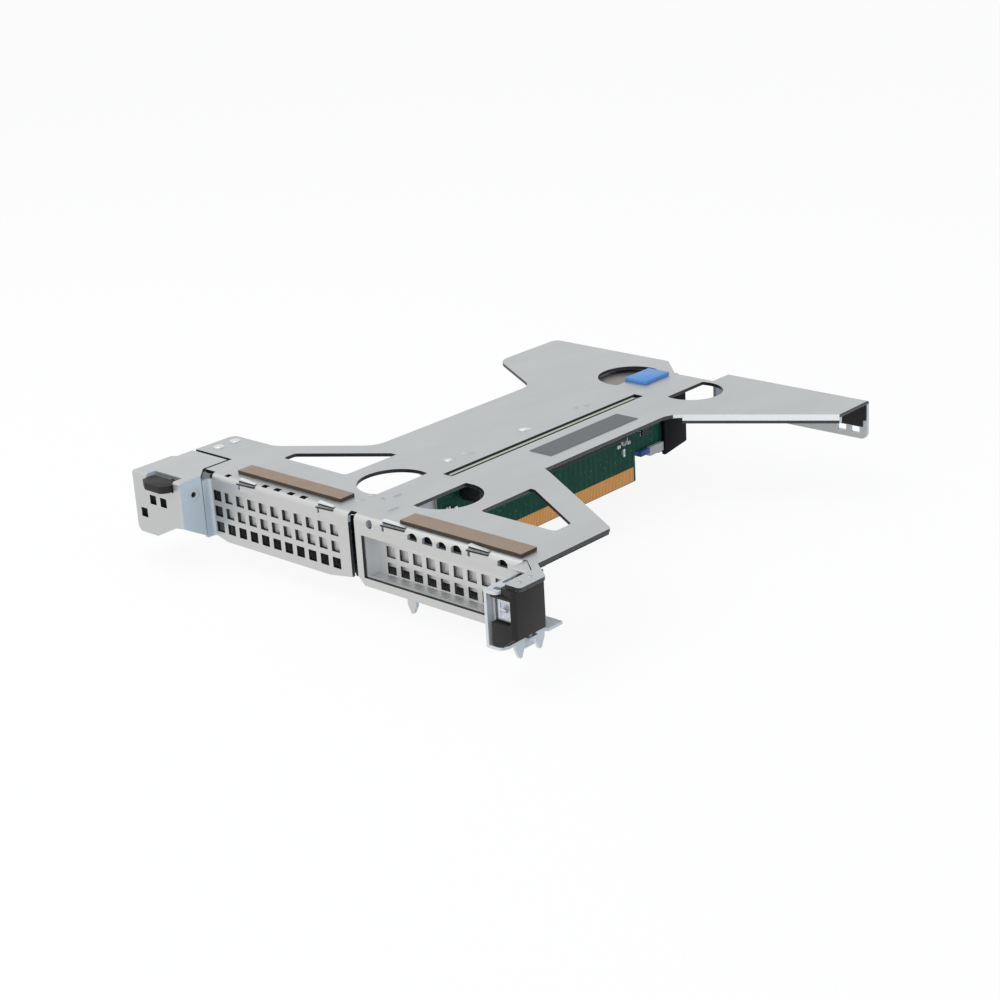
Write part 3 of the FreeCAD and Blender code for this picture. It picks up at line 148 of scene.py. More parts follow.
# %% Floor and room
FLOOR_SIZE, FLOOR_DROP = 9, 0.0002
PAPER, ROOM, WHITE = (0.86, 0.86, 0.86, 1), (0.55, 0.56, 0.58, 1), (1, 1, 1, 1)
GLOW, GLOW_SHARE = 1.05, 0.85


def seen_directly(tree):
    """1 for rays from the camera, from a mirror or through glass, 0 for the light that falls."""
    path = put(tree, "ShaderNodeLightPath")
    mirror = maths(tree, "MAXIMUM", path.outputs["Is Camera Ray"], path.outputs["Is Glossy Ray"])
    return maths(tree, "MAXIMUM", mirror, path.outputs["Is Transmission Ray"])


bpy.ops.object.select_all(action="DESELECT")
bpy.ops.mesh.primitive_grid_add(x_subdivisions=8, y_subdivisions=8, size=FLOOR_SIZE,
                                location=(0, 0, -FLOOR_DROP))
floor = bpy.context.object
floor.name = "floor"
paper = bpy.data.materials.new("pale_paper")
paper.use_nodes = True
tree = paper.node_tree
tree.nodes.clear()
matt = put(tree, "ShaderNodeBsdfDiffuse", {"Color": PAPER})
white = put(tree, "ShaderNodeEmission", {"Color": WHITE, "Strength": GLOW})
blend = put(tree, "ShaderNodeMixShader", {0: times(tree, seen_directly(tree), GLOW_SHARE),
                                          1: matt.outputs[0], 2: white.outputs[0]})
put(tree, "ShaderNodeOutputMaterial", {"Surface": blend.outputs[0]})
floor.data.materials.append(paper)

world = bpy.data.worlds.new("room")
bpy.context.scene.world = world
world.use_nodes = True
tree = world.node_tree
tree.nodes.clear()
room = mixed(tree, seen_directly(tree), ROOM, WHITE)
shell = put(tree, "ShaderNodeBackground", {"Color": room, "Strength": 1.0})
put(tree, "ShaderNodeOutputWorld", {"Surface": shell.outputs[0]})
print("floor and room ready")

# %% [markdown]
# A soft lamp is a large square that shines at the object's middle. Soft lamps leave no hard
# shadow on the paper, as in the picture.

# %% Lamps


def soft_lamp(name, at, power, size, colour):
    data = bpy.data.lights.new(name, "AREA")
    data.energy = power
    data.size = size
    data.color = colour
    lamp = bpy.data.objects.new(name, data)
    bpy.context.scene.collection.objects.link(lamp)
    lamp.location = at
    lamp.rotation_euler = (-Vector(at)).to_track_quat("-Z", "Y").to_euler()


soft_lamp("lamp_above", (-0.25, -0.30, 0.95), 2.3, 0.8, (1.0, 0.99, 0.97))
soft_lamp("lamp_front", (-0.15, -1.00, 0.40), 1.5, 0.7, (1.0, 0.985, 0.96))
soft_lamp("lamp_right", (1.05, 0.20, 0.30), 1.0, 0.7, (0.80, 0.90, 1.0))

# %% [markdown]
# Several finishes share the same small effects: a fine grain, a sharp cut edge where the punch
# went through the coated sheet, the way a face turns, a painted highlight line along every edge,
# and specks. Each is a node group with named inputs and outputs. It is built once, and every
# material that needs it gets its own copy of the values.

# %% Shared effects


def effect(name, inputs, outputs):
    group = bpy.data.node_groups.new(name, "ShaderNodeTree")
    for label, value in inputs.items():
        socket = group.interface.new_socket(label, in_out="INPUT", socket_type="NodeSocketFloat")
        socket.default_value = value
    for label, kind in outputs.items():
        group.interface.new_socket(label, in_out="OUTPUT", socket_type=kind)
    return group, group.nodes.new("NodeGroupInput"), group.nodes.new("NodeGroupOutput")


def use_effect(tree, group, **values):
    made = put(tree, "ShaderNodeGroup", node_tree=group)
    for label, value in values.items():
        made.inputs[label].default_value = value
    return made.outputs


def split(tree, what):
    """X, Y and Z of where a point is ("Object") or of which way its face looks ("Normal")."""
    where = put(tree, "ShaderNodeTexCoord")
    return put(tree, "ShaderNodeSeparateXYZ", {0: where.outputs[what]}).outputs


def over(tree, value, limit):
    return maths(tree, "GREATER_THAN", value, limit)


def under(tree, value, limit):
    return maths(tree, "LESS_THAN", value, limit)


def size_of(tree, value):
    return maths(tree, "ABSOLUTE", value)


def all_of(tree, *tests):
    mask = tests[0]
    for test in tests[1:]:
        mask = times(tree, mask, test)
    return mask


VALUE = "NodeSocketFloat"
NEARLY_ACROSS = 0.3  # a face turned this little towards an axis counts as standing along it
ARM_FROM = (0.036, 0.056)  # X and Y of the front corner of the rear arm
HIGHLIGHT_GAIN = 8.0  # how fast the painted highlight line comes up as the rounded normal turns away

# Fine grain: cloudy patches and, where Stretch is over 1, streaks along Y as rolling leaves them
grain, given, result = effect("fine grain", {"Scale": 300.0, "Stretch": 1.0}, {"Value": VALUE})
spot = split(grain, "Object")
pulled = maths(grain, "DIVIDE", spot["Y"], given.outputs["Stretch"])
joined = put(grain, "ShaderNodeCombineXYZ", {"X": spot["X"], "Y": pulled, "Z": spot["Z"]})
cloud = put(grain, "ShaderNodeTexNoise", {"Vector": joined.outputs[0],
                                          "Scale": given.outputs["Scale"], "Detail": 5.0,
                                          "Roughness": 0.6})
grain.links.new(cloud.outputs["Fac"], result.inputs["Value"])

# Cut edge: upright faces between two heights, from one place along the object on
cut_edge, given, result = effect("cut edge", {"Low": 0.0371, "High": 0.0386, "From": -1.0},
                                 {"Mask": VALUE})
spot, way = split(cut_edge, "Object"), split(cut_edge, "Normal")
mask = all_of(cut_edge, under(cut_edge, size_of(cut_edge, way["Z"]), NEARLY_ACROSS),
              over(cut_edge, spot["Z"], given.outputs["Low"]),
              under(cut_edge, spot["Z"], given.outputs["High"]),
              over(cut_edge, spot["Y"], given.outputs["From"]))
cut_edge.links.new(mask, result.inputs["Mask"])

# Punched edge: the walls of openings in a sheet that stands upright across Y
punched, given, result = effect("punched edge", {"Near": 0.0, "Far": 0.001, "Top": 0.034,
                                                  "Bottom": 0.011, "End": 1.0},
                                {"Mask": VALUE})
spot, way = split(punched, "Object"), split(punched, "Normal")
mask = all_of(punched, under(punched, size_of(punched, way["Y"]), NEARLY_ACROSS),
              over(punched, spot["Y"], given.outputs["Near"]),
              under(punched, spot["Y"], given.outputs["Far"]),
              under(punched, spot["Z"], given.outputs["Top"]),
              over(punched, spot["Z"], given.outputs["Bottom"]),
              under(punched, spot["X"], given.outputs["End"]))
punched.links.new(mask, result.inputs["Mask"])

# Facing: how far a face of the bays turns to the front, how far any face turns to the right,
# and whether it is the slanted front edge of the rear arm
facing_group, given, result = effect("facing", {}, {"Front": VALUE, "Right": VALUE,
                                                    "Arm": VALUE})
spot, way = split(facing_group, "Object"), split(facing_group, "Normal")
front = put(facing_group, "ShaderNodeMapRange", {0: way["Y"], 1: -0.2, 2: -0.9})
right = put(facing_group, "ShaderNodeMapRange", {0: way["X"], 1: 0.3, 2: 0.9})
arm = all_of(facing_group, over(facing_group, spot["Y"], ARM_FROM[1]),
             over(facing_group, spot["X"], ARM_FROM[0]), under(facing_group, way["Y"], -0.6),
             over(facing_group, way["X"], 0.3))
front = times(facing_group, front.outputs[0], under(facing_group, spot["Y"], 0.0))
facing_group.links.new(front, result.inputs["Front"])
facing_group.links.new(right.outputs[0], result.inputs["Right"])
facing_group.links.new(arm, result.inputs["Arm"])

# Painted edge highlight: 1 where the rounded normal leaves the flat one, used to paint edges
# lighter
painted_highlight, given, result = effect("rubbed edge", {"Width": 0.0004}, {"Mask": VALUE})
soft = put(painted_highlight, "ShaderNodeBevel", {"Radius": given.outputs["Width"]}, samples=4)
plain = put(painted_highlight, "ShaderNodeNewGeometry")
same = put(painted_highlight, "ShaderNodeVectorMath", {0: soft.outputs[0], 1: plain.outputs["Normal"]},
           operation="DOT_PRODUCT")
turned = maths(painted_highlight, "MULTIPLY", maths(painted_highlight, "SUBTRACT", 1.0, same.outputs["Value"]),
               HIGHLIGHT_GAIN, clamp=True)
painted_highlight.links.new(turned, result.inputs["Mask"])

# Specks: sparse round dots
specks, given, result = effect("specks", {"Scale": 500.0, "Size": 0.2}, {"Mask": VALUE})
where = put(specks, "ShaderNodeTexCoord")
cells = put(specks, "ShaderNodeTexVoronoi", {"Vector": where.outputs["Object"],
                                             "Scale": given.outputs["Scale"]})
specks.links.new(under(specks, cells.outputs["Distance"], given.outputs["Size"]),
                 result.inputs["Mask"])
print("effects:", [g.name for g in bpy.data.node_groups])

# %% [markdown]
# A material starts as a Principled shader with its plain numbers on the shader's own sockets.
# Colour, roughness and bump then come from the effects.

# %% A finish to start from


def finish(name, roughness, metallic, **plain):
    made = bpy.data.materials.new(name)
    made.use_nodes = True
    tree = made.node_tree
    shader = tree.nodes["Principled BSDF"]
    shader.inputs["Roughness"].default_value = roughness
    shader.inputs["Metallic"].default_value = metallic
    for label, value in plain.items():
        shader.inputs[label.replace("_", " ")].default_value = value
    return made, tree, shader


def between(tree, value, low, high):
    made = put(tree, "ShaderNodeMapRange", {0: value, 3: low, 4: high})
    return made.outputs[0]


def bumped(tree, shader, height, depth, strength=0.5):
    made = put(tree, "ShaderNodeBump", {"Height": height, "Strength": strength,
                                        "Distance": depth})
    tree.links.new(made.outputs[0], shader.inputs["Normal"])


print("finish helper ready")

# %% [markdown]
# The cage is bent from zinc-coated steel. The coat is satin and nearly white, with faint
# patches and rolling streaks. Where the sheet was punched, the cut shows bare steel, painted near
# black as partly bare steel and partly painted shade, and so are the walls of the openings. A
# metal with a light colour reflects the white room and so comes out as that colour. Faces that
# look to the front get a painted warm light and faces that look to the right a painted bluish
# light, every edge gets a painted highlight line, the rolled front edge of the rear arm has a
# painted highlight above and painted shade below, and raised lances get a painted highlight.

# %% Coated sheet
PLATE_CUT = (0.03712, 0.03858)  # the height of the plate's cut edge
VENT_TOP = 0.0345  # the vents end below this height
EVERYWHERE, NO_END = -1.0, 1.0  # limits beyond the object
# Cut edges are painted near black, partly bare steel and partly painted shade; the rim colour is
# a painted highlight along edges.
BARE_CUT_AND_SHADE, EDGE_HIGHLIGHT_COLOUR = (0.014, 0.015, 0.016, 1), (0.86, 0.88, 0.89, 1)
# The rolled lip is painted: a painted highlight on its upper half and painted shade on its lower
# half.
LIP_MIDDLE, LIP_PAINTED_HIGHLIGHT, LIP_PAINTED_SHADE = 0.0359, (0.93, 0.95, 0.97, 1), (0.05, 0.055, 0.06, 1)
# Painted highlight: parts of the plate above its top, such as the lances, get this lighter
# colour.
RAISED_FROM, RAISED_PAINTED_HIGHLIGHT = PLATE_Z / 1000 + 0.00006, (0.76, 0.78, 0.79, 1)


def coated_sheet(name, light, shade, rough, cut_from=None, hole=None, metallic=0.8,
                 painted_lip_and_raised=False, front=(0.60, 0.60, 0.585, 1), right=(0.50, 0.60, 0.70, 1)):
    made, tree, shader = finish(name, rough, metallic)
    patches = use_effect(tree, grain, Scale=60.0, Stretch=3.0)
    streaks = use_effect(tree, grain, Scale=900.0, Stretch=12.0)
    tone = maths(tree, "ADD", times(tree, patches[0], 0.6), times(tree, streaks[0], 0.4))
    tone = between(tree, tone, -0.6, 1.6)
    colour = mixed(tree, tone, shade, light)
    # Painted light: faces turned to the front are tinted warm and faces turned to the right
    # bluish, standing in for how the lamps fall on them.
    turned_to = use_effect(tree, facing_group)
    for side, tint in (("Front", front), ("Right", right)):
        colour = mixed(tree, times(tree, turned_to[side], 0.8), colour, tint)
    # Painted highlight: every edge is lightened towards a near-white rim colour, whatever the
    # light.
    edge = use_effect(tree, painted_highlight, Width=0.0003)
    colour = mixed(tree, times(tree, edge[0], 0.5), colour, EDGE_HIGHLIGHT_COLOUR)
    masks = []
    if cut_from is not None:
        dark = use_effect(tree, cut_edge, Low=PLATE_CUT[0], High=PLATE_CUT[1], From=cut_from)
        masks.append(times(tree, dark[0], maths(tree, "SUBTRACT", 1.0, turned_to["Arm"])))
    if hole:
        masks.append(use_effect(tree, punched, Near=along(hole[0]), Far=along(hole[1]),
                                Top=hole[2], End=hole[3])[0])
    # Cut edges and the walls of the openings are painted near black: partly bare steel, partly
    # painted shade.
    for mask in masks:
        colour = mixed(tree, times(tree, mask, 0.97), colour, BARE_CUT_AND_SHADE)
    # Painted highlight and painted shade on the rolled front edge of the rear arm: light above
    # its middle, dark below.
    if painted_lip_and_raised:
        spot = split(tree, "Object")
        rim = mixed(tree, under(tree, spot["Z"], LIP_MIDDLE), LIP_PAINTED_HIGHLIGHT, LIP_PAINTED_SHADE)
        colour = mixed(tree, turned_to["Arm"], colour, rim)
        # Painted highlight: whatever stands above the plate's top, such as the lances, is painted
        # lighter.
        colour = mixed(tree, over(tree, spot["Z"], RAISED_FROM), colour, RAISED_PAINTED_HIGHLIGHT)
    tree.links.new(colour, shader.inputs["Base Color"])
    tree.links.new(times(tree, metallic, maths(tree, "SUBTRACT", 1.0, turned_to["Right"])),
                   shader.inputs["Metallic"])
    tree.links.new(between(tree, streaks[0], rough - 0.05, rough + 0.08),
                   shader.inputs["Roughness"])
    bumped(tree, shader, streaks[0], 0.00003, 0.25)
    return made


# The front and right colours below are painted light: a warm tint on faces that look to the front
# and a bluish one on faces that look to the right; the filler's right colour is near white to
# lift its shaded inner wall.
zinc = coated_sheet("zinc_plate", (0.535, 0.550, 0.560, 1), (0.465, 0.48, 0.49, 1), 0.42,
                    cut_from=EVERYWHERE, hole=(0.02, 1.48, VENT_TOP, NO_END), painted_lip_and_raised=True,
                    right=(0.64, 0.77, 0.90, 1))
# The blanking plates are painted near white and barely metallic, as painted light standing in for
# the light that reaches them through the vents.
zinc_blank_painted_light = coated_sheet("zinc_blank_painted_light", (0.84, 0.83, 0.82, 1), (0.76, 0.75, 0.74, 1), 0.5,
                          metallic=0.25, front=(0.86, 0.845, 0.83, 1))
# The ridge sheet is painted darker than the plate as painted shade on the pressed ridges and
# pips.
zinc_ridge_painted_shade = coated_sheet("zinc_ridge_painted_shade", (0.40, 0.41, 0.42, 1), (0.33, 0.34, 0.35, 1), 0.4)
# The tray sheet is painted dark brownish grey as painted shade under the plate.
zinc_in_painted_shade = coated_sheet("zinc_in_painted_shade", (0.34, 0.32, 0.30, 1), (0.28, 0.265, 0.25, 1), 0.5)
zinc_ear = coated_sheet("zinc_ear", (0.56, 0.575, 0.58, 1), (0.49, 0.505, 0.52, 1), 0.42,
                        cut_from=along(-4.4), hole=(-15.48, -14.02, 0.0365, -0.0770),
                        front=(0.555, 0.565, 0.56, 1), right=(0.72, 0.86, 0.99, 1))
zinc_filler = coated_sheet("zinc_filler", (0.72, 0.73, 0.73, 1), (0.64, 0.65, 0.66, 1), 0.42,
                           hole=(8.02, 8.98, VENT_TOP, NO_END), metallic=0.5,
                           front=(0.80, 0.795, 0.785, 1), right=(0.92, 0.97, 1.0, 1))
# The bracket sheet's bluish colour is a painted reflection of bluish light.
zinc_painted_bluish = coated_sheet("zinc_bracket", (0.66, 0.69, 0.72, 1), (0.56, 0.60, 0.64, 1), 0.38,
                         metallic=0.6, front=(0.74, 0.755, 0.75, 1), right=(0.72, 0.79, 0.85, 1))
bright = coated_sheet("bright_steel", (0.78, 0.79, 0.80, 1), (0.68, 0.69, 0.70, 1), 0.25)
print("steel:", [m.name for m in bpy.data.materials if "zinc" in m.name])

# %% [markdown]
# Moulded plastic is nearly even in colour, with a fine texture from the mould that only shows
# in its gloss, and every edge gets a painted highlight line. One function makes every plastic
# here, each with its own colour and gloss.

# %% Moulded plastic
MOULD_DEPTH = 0.00002


def moulded(name, colour, rough, shine=0.3):
    made, tree, shader = finish(name, rough, 0.0, Specular_IOR_Level=shine)
    texture_grain = use_effect(tree, grain, Scale=1500.0)
    lighter = tuple(min(1.0, c * 1.25 + 0.004) for c in colour[:3]) + (1,)
    darker = tuple(c * 0.8 for c in colour[:3]) + (1,)
    body_colour = mixed(tree, texture_grain[0], darker, lighter)
    # Painted highlight: the edges are lightened towards a paler tint, whatever the light.
    edge = use_effect(tree, painted_highlight, Width=0.0002)
    edge_highlight_tint = tuple(min(1.0, c * 1.7 + 0.02) for c in colour[:3]) + (1,)
    tree.links.new(mixed(tree, times(tree, edge[0], 0.5), body_colour, edge_highlight_tint),
                   shader.inputs["Base Color"])
    tree.links.new(between(tree, texture_grain[0], rough - 0.08, rough + 0.12),
                   shader.inputs["Roughness"])
    bumped(tree, shader, texture_grain[0], MOULD_DEPTH)
    return made


latch_black = moulded("latch_black", (0.012, 0.0105, 0.011, 1), 0.5)
socket_black = moulded("socket_black", (0.008, 0.009, 0.010, 1), 0.55)
guide_black = moulded("guide_black", (0.003, 0.003, 0.0055, 1), 0.6, shine=0.1)
tab_blue = moulded("tab_blue", (0.095, 0.315, 0.76, 1), 0.35)
header_blue = moulded("header_blue", (0.03, 0.10, 0.36, 1), 0.4)
header_pale = moulded("header_pale", (0.62, 0.64, 0.66, 1), 0.4)
# This black goes on the films and on the added dark sheets; most of them stand where there is
# only shade, as painted shade.
film_and_shade_black = moulded("film_and_shade_black_finish", (0.007, 0.007, 0.008, 1), 0.45)
field = moulded("field_grey", (0.150, 0.160, 0.170, 1), 0.55)
print("plastics:", latch_black.name, tab_blue.name, field.name)

# %% [markdown]
# The circuit board is glass fibre under green lacquer. On its two faces the copper traces
# below the lacquer show as slightly lighter lines, most of them upright, with small holes
# plated through.
# On its thin edges there is no lacquer, so the pale fibre shows. The side that a point faces
# decides which of the two it gets.

# %% Lacquered board
FLAT_TRACES_FROM = 0.022  # traces also run level above this height
board, tree, shader = finish("board_lacquer", 0.45, 0.0, Specular_IOR_Level=0.12)
where = put(tree, "ShaderNodeTexCoord")
spot, way = split(tree, "Object"), split(tree, "Normal")
lines = put(tree, "ShaderNodeTexWave", {"Vector": where.outputs["Object"], "Scale": 95.0,
                                        "Distortion": 1.2, "Detail": 2.0, "Detail Scale": 0.4},
            wave_type="BANDS", bands_direction="Y")
groups = use_effect(tree, grain, Scale=110.0)
upright = times(tree, over(tree, lines.outputs["Fac"], 0.62), over(tree, groups[0], 0.46))
flat = put(tree, "ShaderNodeTexWave", {"Vector": where.outputs["Object"], "Scale": 130.0,
                                       "Distortion": 0.6}, wave_type="BANDS", bands_direction="Z")
sideways = all_of(tree, over(tree, flat.outputs["Fac"], 0.7),
                  over(tree, spot["Z"], FLAT_TRACES_FROM), under(tree, groups[0], 0.44))
traces = maths(tree, "MAXIMUM", upright, sideways)
holes = use_effect(tree, specks, Scale=330.0, Size=0.13)
lacquer = mixed(tree, groups[0], (0.0025, 0.052, 0.036, 1), (0.004, 0.080, 0.054, 1))
lacquer = mixed(tree, times(tree, traces, 0.5), lacquer, (0.007, 0.115, 0.076, 1))
lacquer = mixed(tree, times(tree, holes[0], 0.6), lacquer, (0.10, 0.22, 0.17, 1))
thin = under(tree, size_of(tree, way["X"]), 0.6)
weave = use_effect(tree, grain, Scale=1200.0, Stretch=5.0)
fibre = mixed(tree, weave[0], (0.42, 0.47, 0.36, 1), (0.62, 0.67, 0.54, 1))
tree.links.new(mixed(tree, thin, lacquer, fibre), shader.inputs["Base Color"])
tree.links.new(between(tree, groups[0], 0.40, 0.58), shader.inputs["Roughness"])
bumped(tree, shader, traces, 0.00003, 0.4)
print("board finish:", len(tree.nodes), "nodes")

# %% [markdown]
# The fingers of the card edge are plated with gold. The plating is warm and satin, with a
# slightly redder tone where it is thin.

# %% Gold and solder
gold, tree, shader = finish("gold_plate", 0.33, 0.9)
patches = use_effect(tree, grain, Scale=120.0)
warm = mixed(tree, patches[0], (0.56, 0.24, 0.065, 1), (0.66, 0.36, 0.13, 1))
tree.links.new(warm, shader.inputs["Base Color"])
tree.links.new(between(tree, patches[0], 0.26, 0.42), shader.inputs["Roughness"])
solder, tree, shader = finish("solder", 0.3, 0.8)
patches = use_effect(tree, grain, Scale=900.0)
tree.links.new(mixed(tree, patches[0], (0.55, 0.58, 0.60, 1), (0.80, 0.82, 0.84, 1)),
               shader.inputs["Base Color"])
tree.links.new(between(tree, patches[0], 0.25, 0.45), shader.inputs["Roughness"])
print("gold and solder ready")

# %% [markdown]
# The foam strips are open-celled and tan. Light goes into the cells and comes out dull, so the
# finish is fully rough with a deep fine bump, and its sides are painted dark as painted shade.
# The glue layer under it is dark brown.

# %% Foam and glue
foam, tree, shader = finish("tan_foam", 1.0, 0.0)
cells = use_effect(tree, grain, Scale=1700.0)
clouds = use_effect(tree, grain, Scale=140.0)
dots = use_effect(tree, specks, Scale=1500.0, Size=0.25)
tan = mixed(tree, clouds[0], (0.37, 0.275, 0.215, 1), (0.45, 0.355, 0.285, 1))
tan = mixed(tree, times(tree, dots[0], 0.35), tan, (0.22, 0.15, 0.11, 1))
# Painted shade: the foam's sides are painted nearly black.
side = under(tree, split(tree, "Normal")["Z"], 0.5)
tan = mixed(tree, times(tree, side, 0.9), tan, (0.045, 0.032, 0.022, 1))
tree.links.new(tan, shader.inputs["Base Color"])
bumped(tree, shader, cells[0], 0.00025, 0.7)
glue = moulded("brown_glue", (0.030, 0.022, 0.016, 1), 0.7)
print("foam ready")

# %% [markdown]
# Every solid now gets its finish. The finish goes into the slots that the solid's object
# already has, so its mesh stays as it came.

# %% Finishes on the solids
finishes = {
    "cage_plate": zinc, "ear_bracket": zinc_ear, "ear_rivets": bright, "ear_latch": latch_black,
    "ear_latch_pin": bright, "end_bracket": zinc_painted_bluish, "end_latch": latch_black,
    "end_latch_pin": bright, "right_filler": zinc_filler, "left_blank": zinc_blank_painted_light,
    "right_blank": zinc_blank_painted_light, "bay_divider": zinc_painted_bluish, "board_bracket": zinc_painted_bluish,
    "bracket_rivets": zinc, "board_screws": bright, "riser_board": board,
    "edge_contacts": gold, "right_card_connector": socket_black,
    "left_card_connector": socket_black, "board_parts": header_pale, "blue_header": header_blue,
    "power_header": header_pale, "rear_guide": guide_black, "finger_tray": zinc_in_painted_shade,
    "touch_tab": tab_blue, "foam_strip_left": foam, "foam_strip_right": foam,
    "name_field": field, "arm_film": film_and_shade_black, "left_film": film_and_shade_black, "right_film": film_and_shade_black,
    "fold_film": film_and_shade_black,
}
for name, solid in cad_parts.items():
    for number in range(max(1, len(solid.data.materials))):
        if number < len(solid.data.materials):
            solid.data.materials[number] = finishes[name]
        else:
            solid.data.materials.append(finishes[name])
print("finishes on", len(finishes), "solids")

# %% [markdown]
# New pieces are made as by hand: a block or a round is added at its place, then its faces and
# edges are picked by where they are or which way they face, and shaped. The helpers below do
# the picking and the shaping, and put a finished piece on its body with its finish.

# %% Tools for new pieces
STRAIGHT = 0.9  # a face or an edge counts as straight along an axis from this share on
CLOSE = 1e-5


def nothing_selected():
    if bpy.context.object and bpy.context.object.mode != "OBJECT":
        bpy.ops.object.mode_set(mode="OBJECT")
    bpy.ops.object.select_all(action="DESELECT")


def hold(piece):
    nothing_selected()
    piece.select_set(True)
    bpy.context.view_layer.objects.active = piece


def settle(name):
    piece = bpy.context.object
    piece.name = name
    piece.data.name = name
    bpy.ops.object.transform_apply(location=True, rotation=True, scale=True)
    return piece


def block(name, low, high):
    nothing_selected()
    low, high = Vector(low), Vector(high)
    bpy.ops.mesh.primitive_cube_add(size=1, location=(low + high) / 2)
    bpy.context.object.scale = high - low
    return settle(name)


def round_bar(name, centre, radius, depth, axis, sides=24):
    nothing_selected()
    turn = {"x": (0, math.pi / 2, 0), "y": (math.pi / 2, 0, 0), "z": (0, 0, 0)}[axis]
    bpy.ops.mesh.primitive_cylinder_add(vertices=sides, radius=radius, depth=depth,
                                        location=centre, rotation=turn)
    return settle(name)


def edit(piece, kind, action="DESELECT"):
    hold(piece)
    bpy.ops.object.mode_set(mode="EDIT")
    bpy.ops.mesh.select_mode(type=kind)
    bpy.ops.mesh.select_all(action=action)
    return bmesh.from_edit_mesh(piece.data)


def done():
    bpy.ops.object.mode_set(mode="OBJECT")


def pick_faces(piece, wanted):
    """Opens the piece and selects the faces whose middle and normal are wanted."""
    for face in edit(piece, "FACE").faces:
        if wanted(face.calc_center_median(), face.normal):
            face.select_set(True)
    bmesh.update_edit_mesh(piece.data)


def round_edges(piece, radius, segments, wanted):
    """Rounds the edges whose middle and direction are wanted."""
    for edge in edit(piece, "EDGE").edges:
        start, end = (corner.co for corner in edge.verts)
        if wanted((start + end) / 2, (end - start).normalized()):
            edge.select_set(True)
    bmesh.update_edit_mesh(piece.data)
    bpy.ops.mesh.bevel(offset=radius, segments=segments)
    done()


def extrude(x, y, z):
    bpy.ops.mesh.extrude_region_move(TRANSFORM_OT_translate={"value": (x, y, z)})


def smooth(piece, degrees):
    hold(piece)
    bpy.ops.object.shade_smooth_by_angle(angle=math.radians(degrees))


def apply_modifier(piece, kind, **settings):
    hold(piece)
    made = piece.modifiers.new(kind.lower(), kind)
    for label, value in settings.items():
        setattr(made, label, value)
    bpy.ops.object.modifier_apply(modifier=made.name)


def soften(piece, width, segments=2):
    apply_modifier(piece, "BEVEL", width=width, segments=segments, limit_method="ANGLE",
                   angle_limit=math.radians(30), harden_normals=False)
    smooth(piece, 35)


def repeat(piece, count, step):
    apply_modifier(piece, "ARRAY", count=count, use_relative_offset=False,
                   use_constant_offset=True, constant_offset_displace=step)


def again(piece, name, shift):
    hold(piece)
    bpy.ops.object.duplicate(linked=False)
    copy = bpy.context.object
    copy.name = name
    copy.data.name = name
    copy.location = Vector(shift)
    bpy.ops.object.transform_apply(location=True, rotation=False, scale=False)
    return copy


def join(pieces, name):
    nothing_selected()
    for piece in pieces:
        piece.select_set(True)
    bpy.context.view_layer.objects.active = pieces[0]
    bpy.ops.object.join()
    pieces[0].name = name
    pieces[0].data.name = name
    return pieces[0]


def dress(piece, look, body):
    if look is not None:
        piece.data.materials.clear()
        piece.data.materials.append(look)
    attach(piece, body)


print("tools ready")

# %% [markdown]
# The foam strips are cut from a sheet of open-celled foam with a dark glue layer. A strip is
# soft, so its top edges are rounded and its top isn't quite flat. It starts as a block with a
# fine net of faces, the net is nudged down by a smooth wave, and the upper edges are rounded.
# The glue layer below is a thin block of its own. Both are cut a little smaller than the solid,
# as the picture shows them.

# %% Foam strips
GLUE = 0.0003
FOAM_RISE = 0.0019
RIM, RIM_DROP = 0.0009, 0.00045  # how far in from the sides the top sinks, and how much
WAVE_DROP, WAVES_X, WAVES_Y = 0.00005, 420, 700
FRONT_TRIM = {"foam_strip_left": 0.0020, "foam_strip_right": 0.0005}
END_TRIM = {"foam_strip_left": 0.0003, "foam_strip_right": 0.0011}


def foam_strip(node, name):
    low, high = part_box(node)
    low.y += FRONT_TRIM[node]
    high.x -= END_TRIM[node]
    high.z = low.z + FOAM_RISE
    pad = block(name, (low.x, low.y, low.z + GLUE), (high.x, high.y, high.z))
    edit(pad, "FACE", "SELECT")
    bpy.ops.mesh.subdivide(number_cuts=5)
    bpy.ops.mesh.subdivide(number_cuts=1)
    done()
    for point in pad.data.vertices:
        near = min(point.co.x - low.x, high.x - point.co.x,
                   point.co.y - low.y, high.y - point.co.y)
        rim = max(0.0, 1 - near / RIM)
        share = (point.co.z - low.z) / (high.z - low.z)
        wave = math.sin(point.co.x * WAVES_X) * math.sin(point.co.y * WAVES_Y + 1)
        point.co.z -= share * (RIM_DROP * rim * rim + WAVE_DROP * (1 + wave))
    smooth(pad, 50)
    dress(pad, foam, "cage")
    sticky = block(name + "_glue", (low.x, low.y, low.z), (high.x, high.y, low.z + GLUE))
    soften(sticky, 0.0001, 1)
    dress(sticky, glue, "cage")
    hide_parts(node)
    return pad


for node in ("foam_strip_left", "foam_strip_right"):
    print(foam_strip(node, node + "_pad").name)

# %% [markdown]
# The card edge has 115 gold fingers on each side, in two runs with the key between them. One
# finger is a flat block with its upper corners rounded. It is repeated along the board by an
# array, and each run is then copied to the other face.

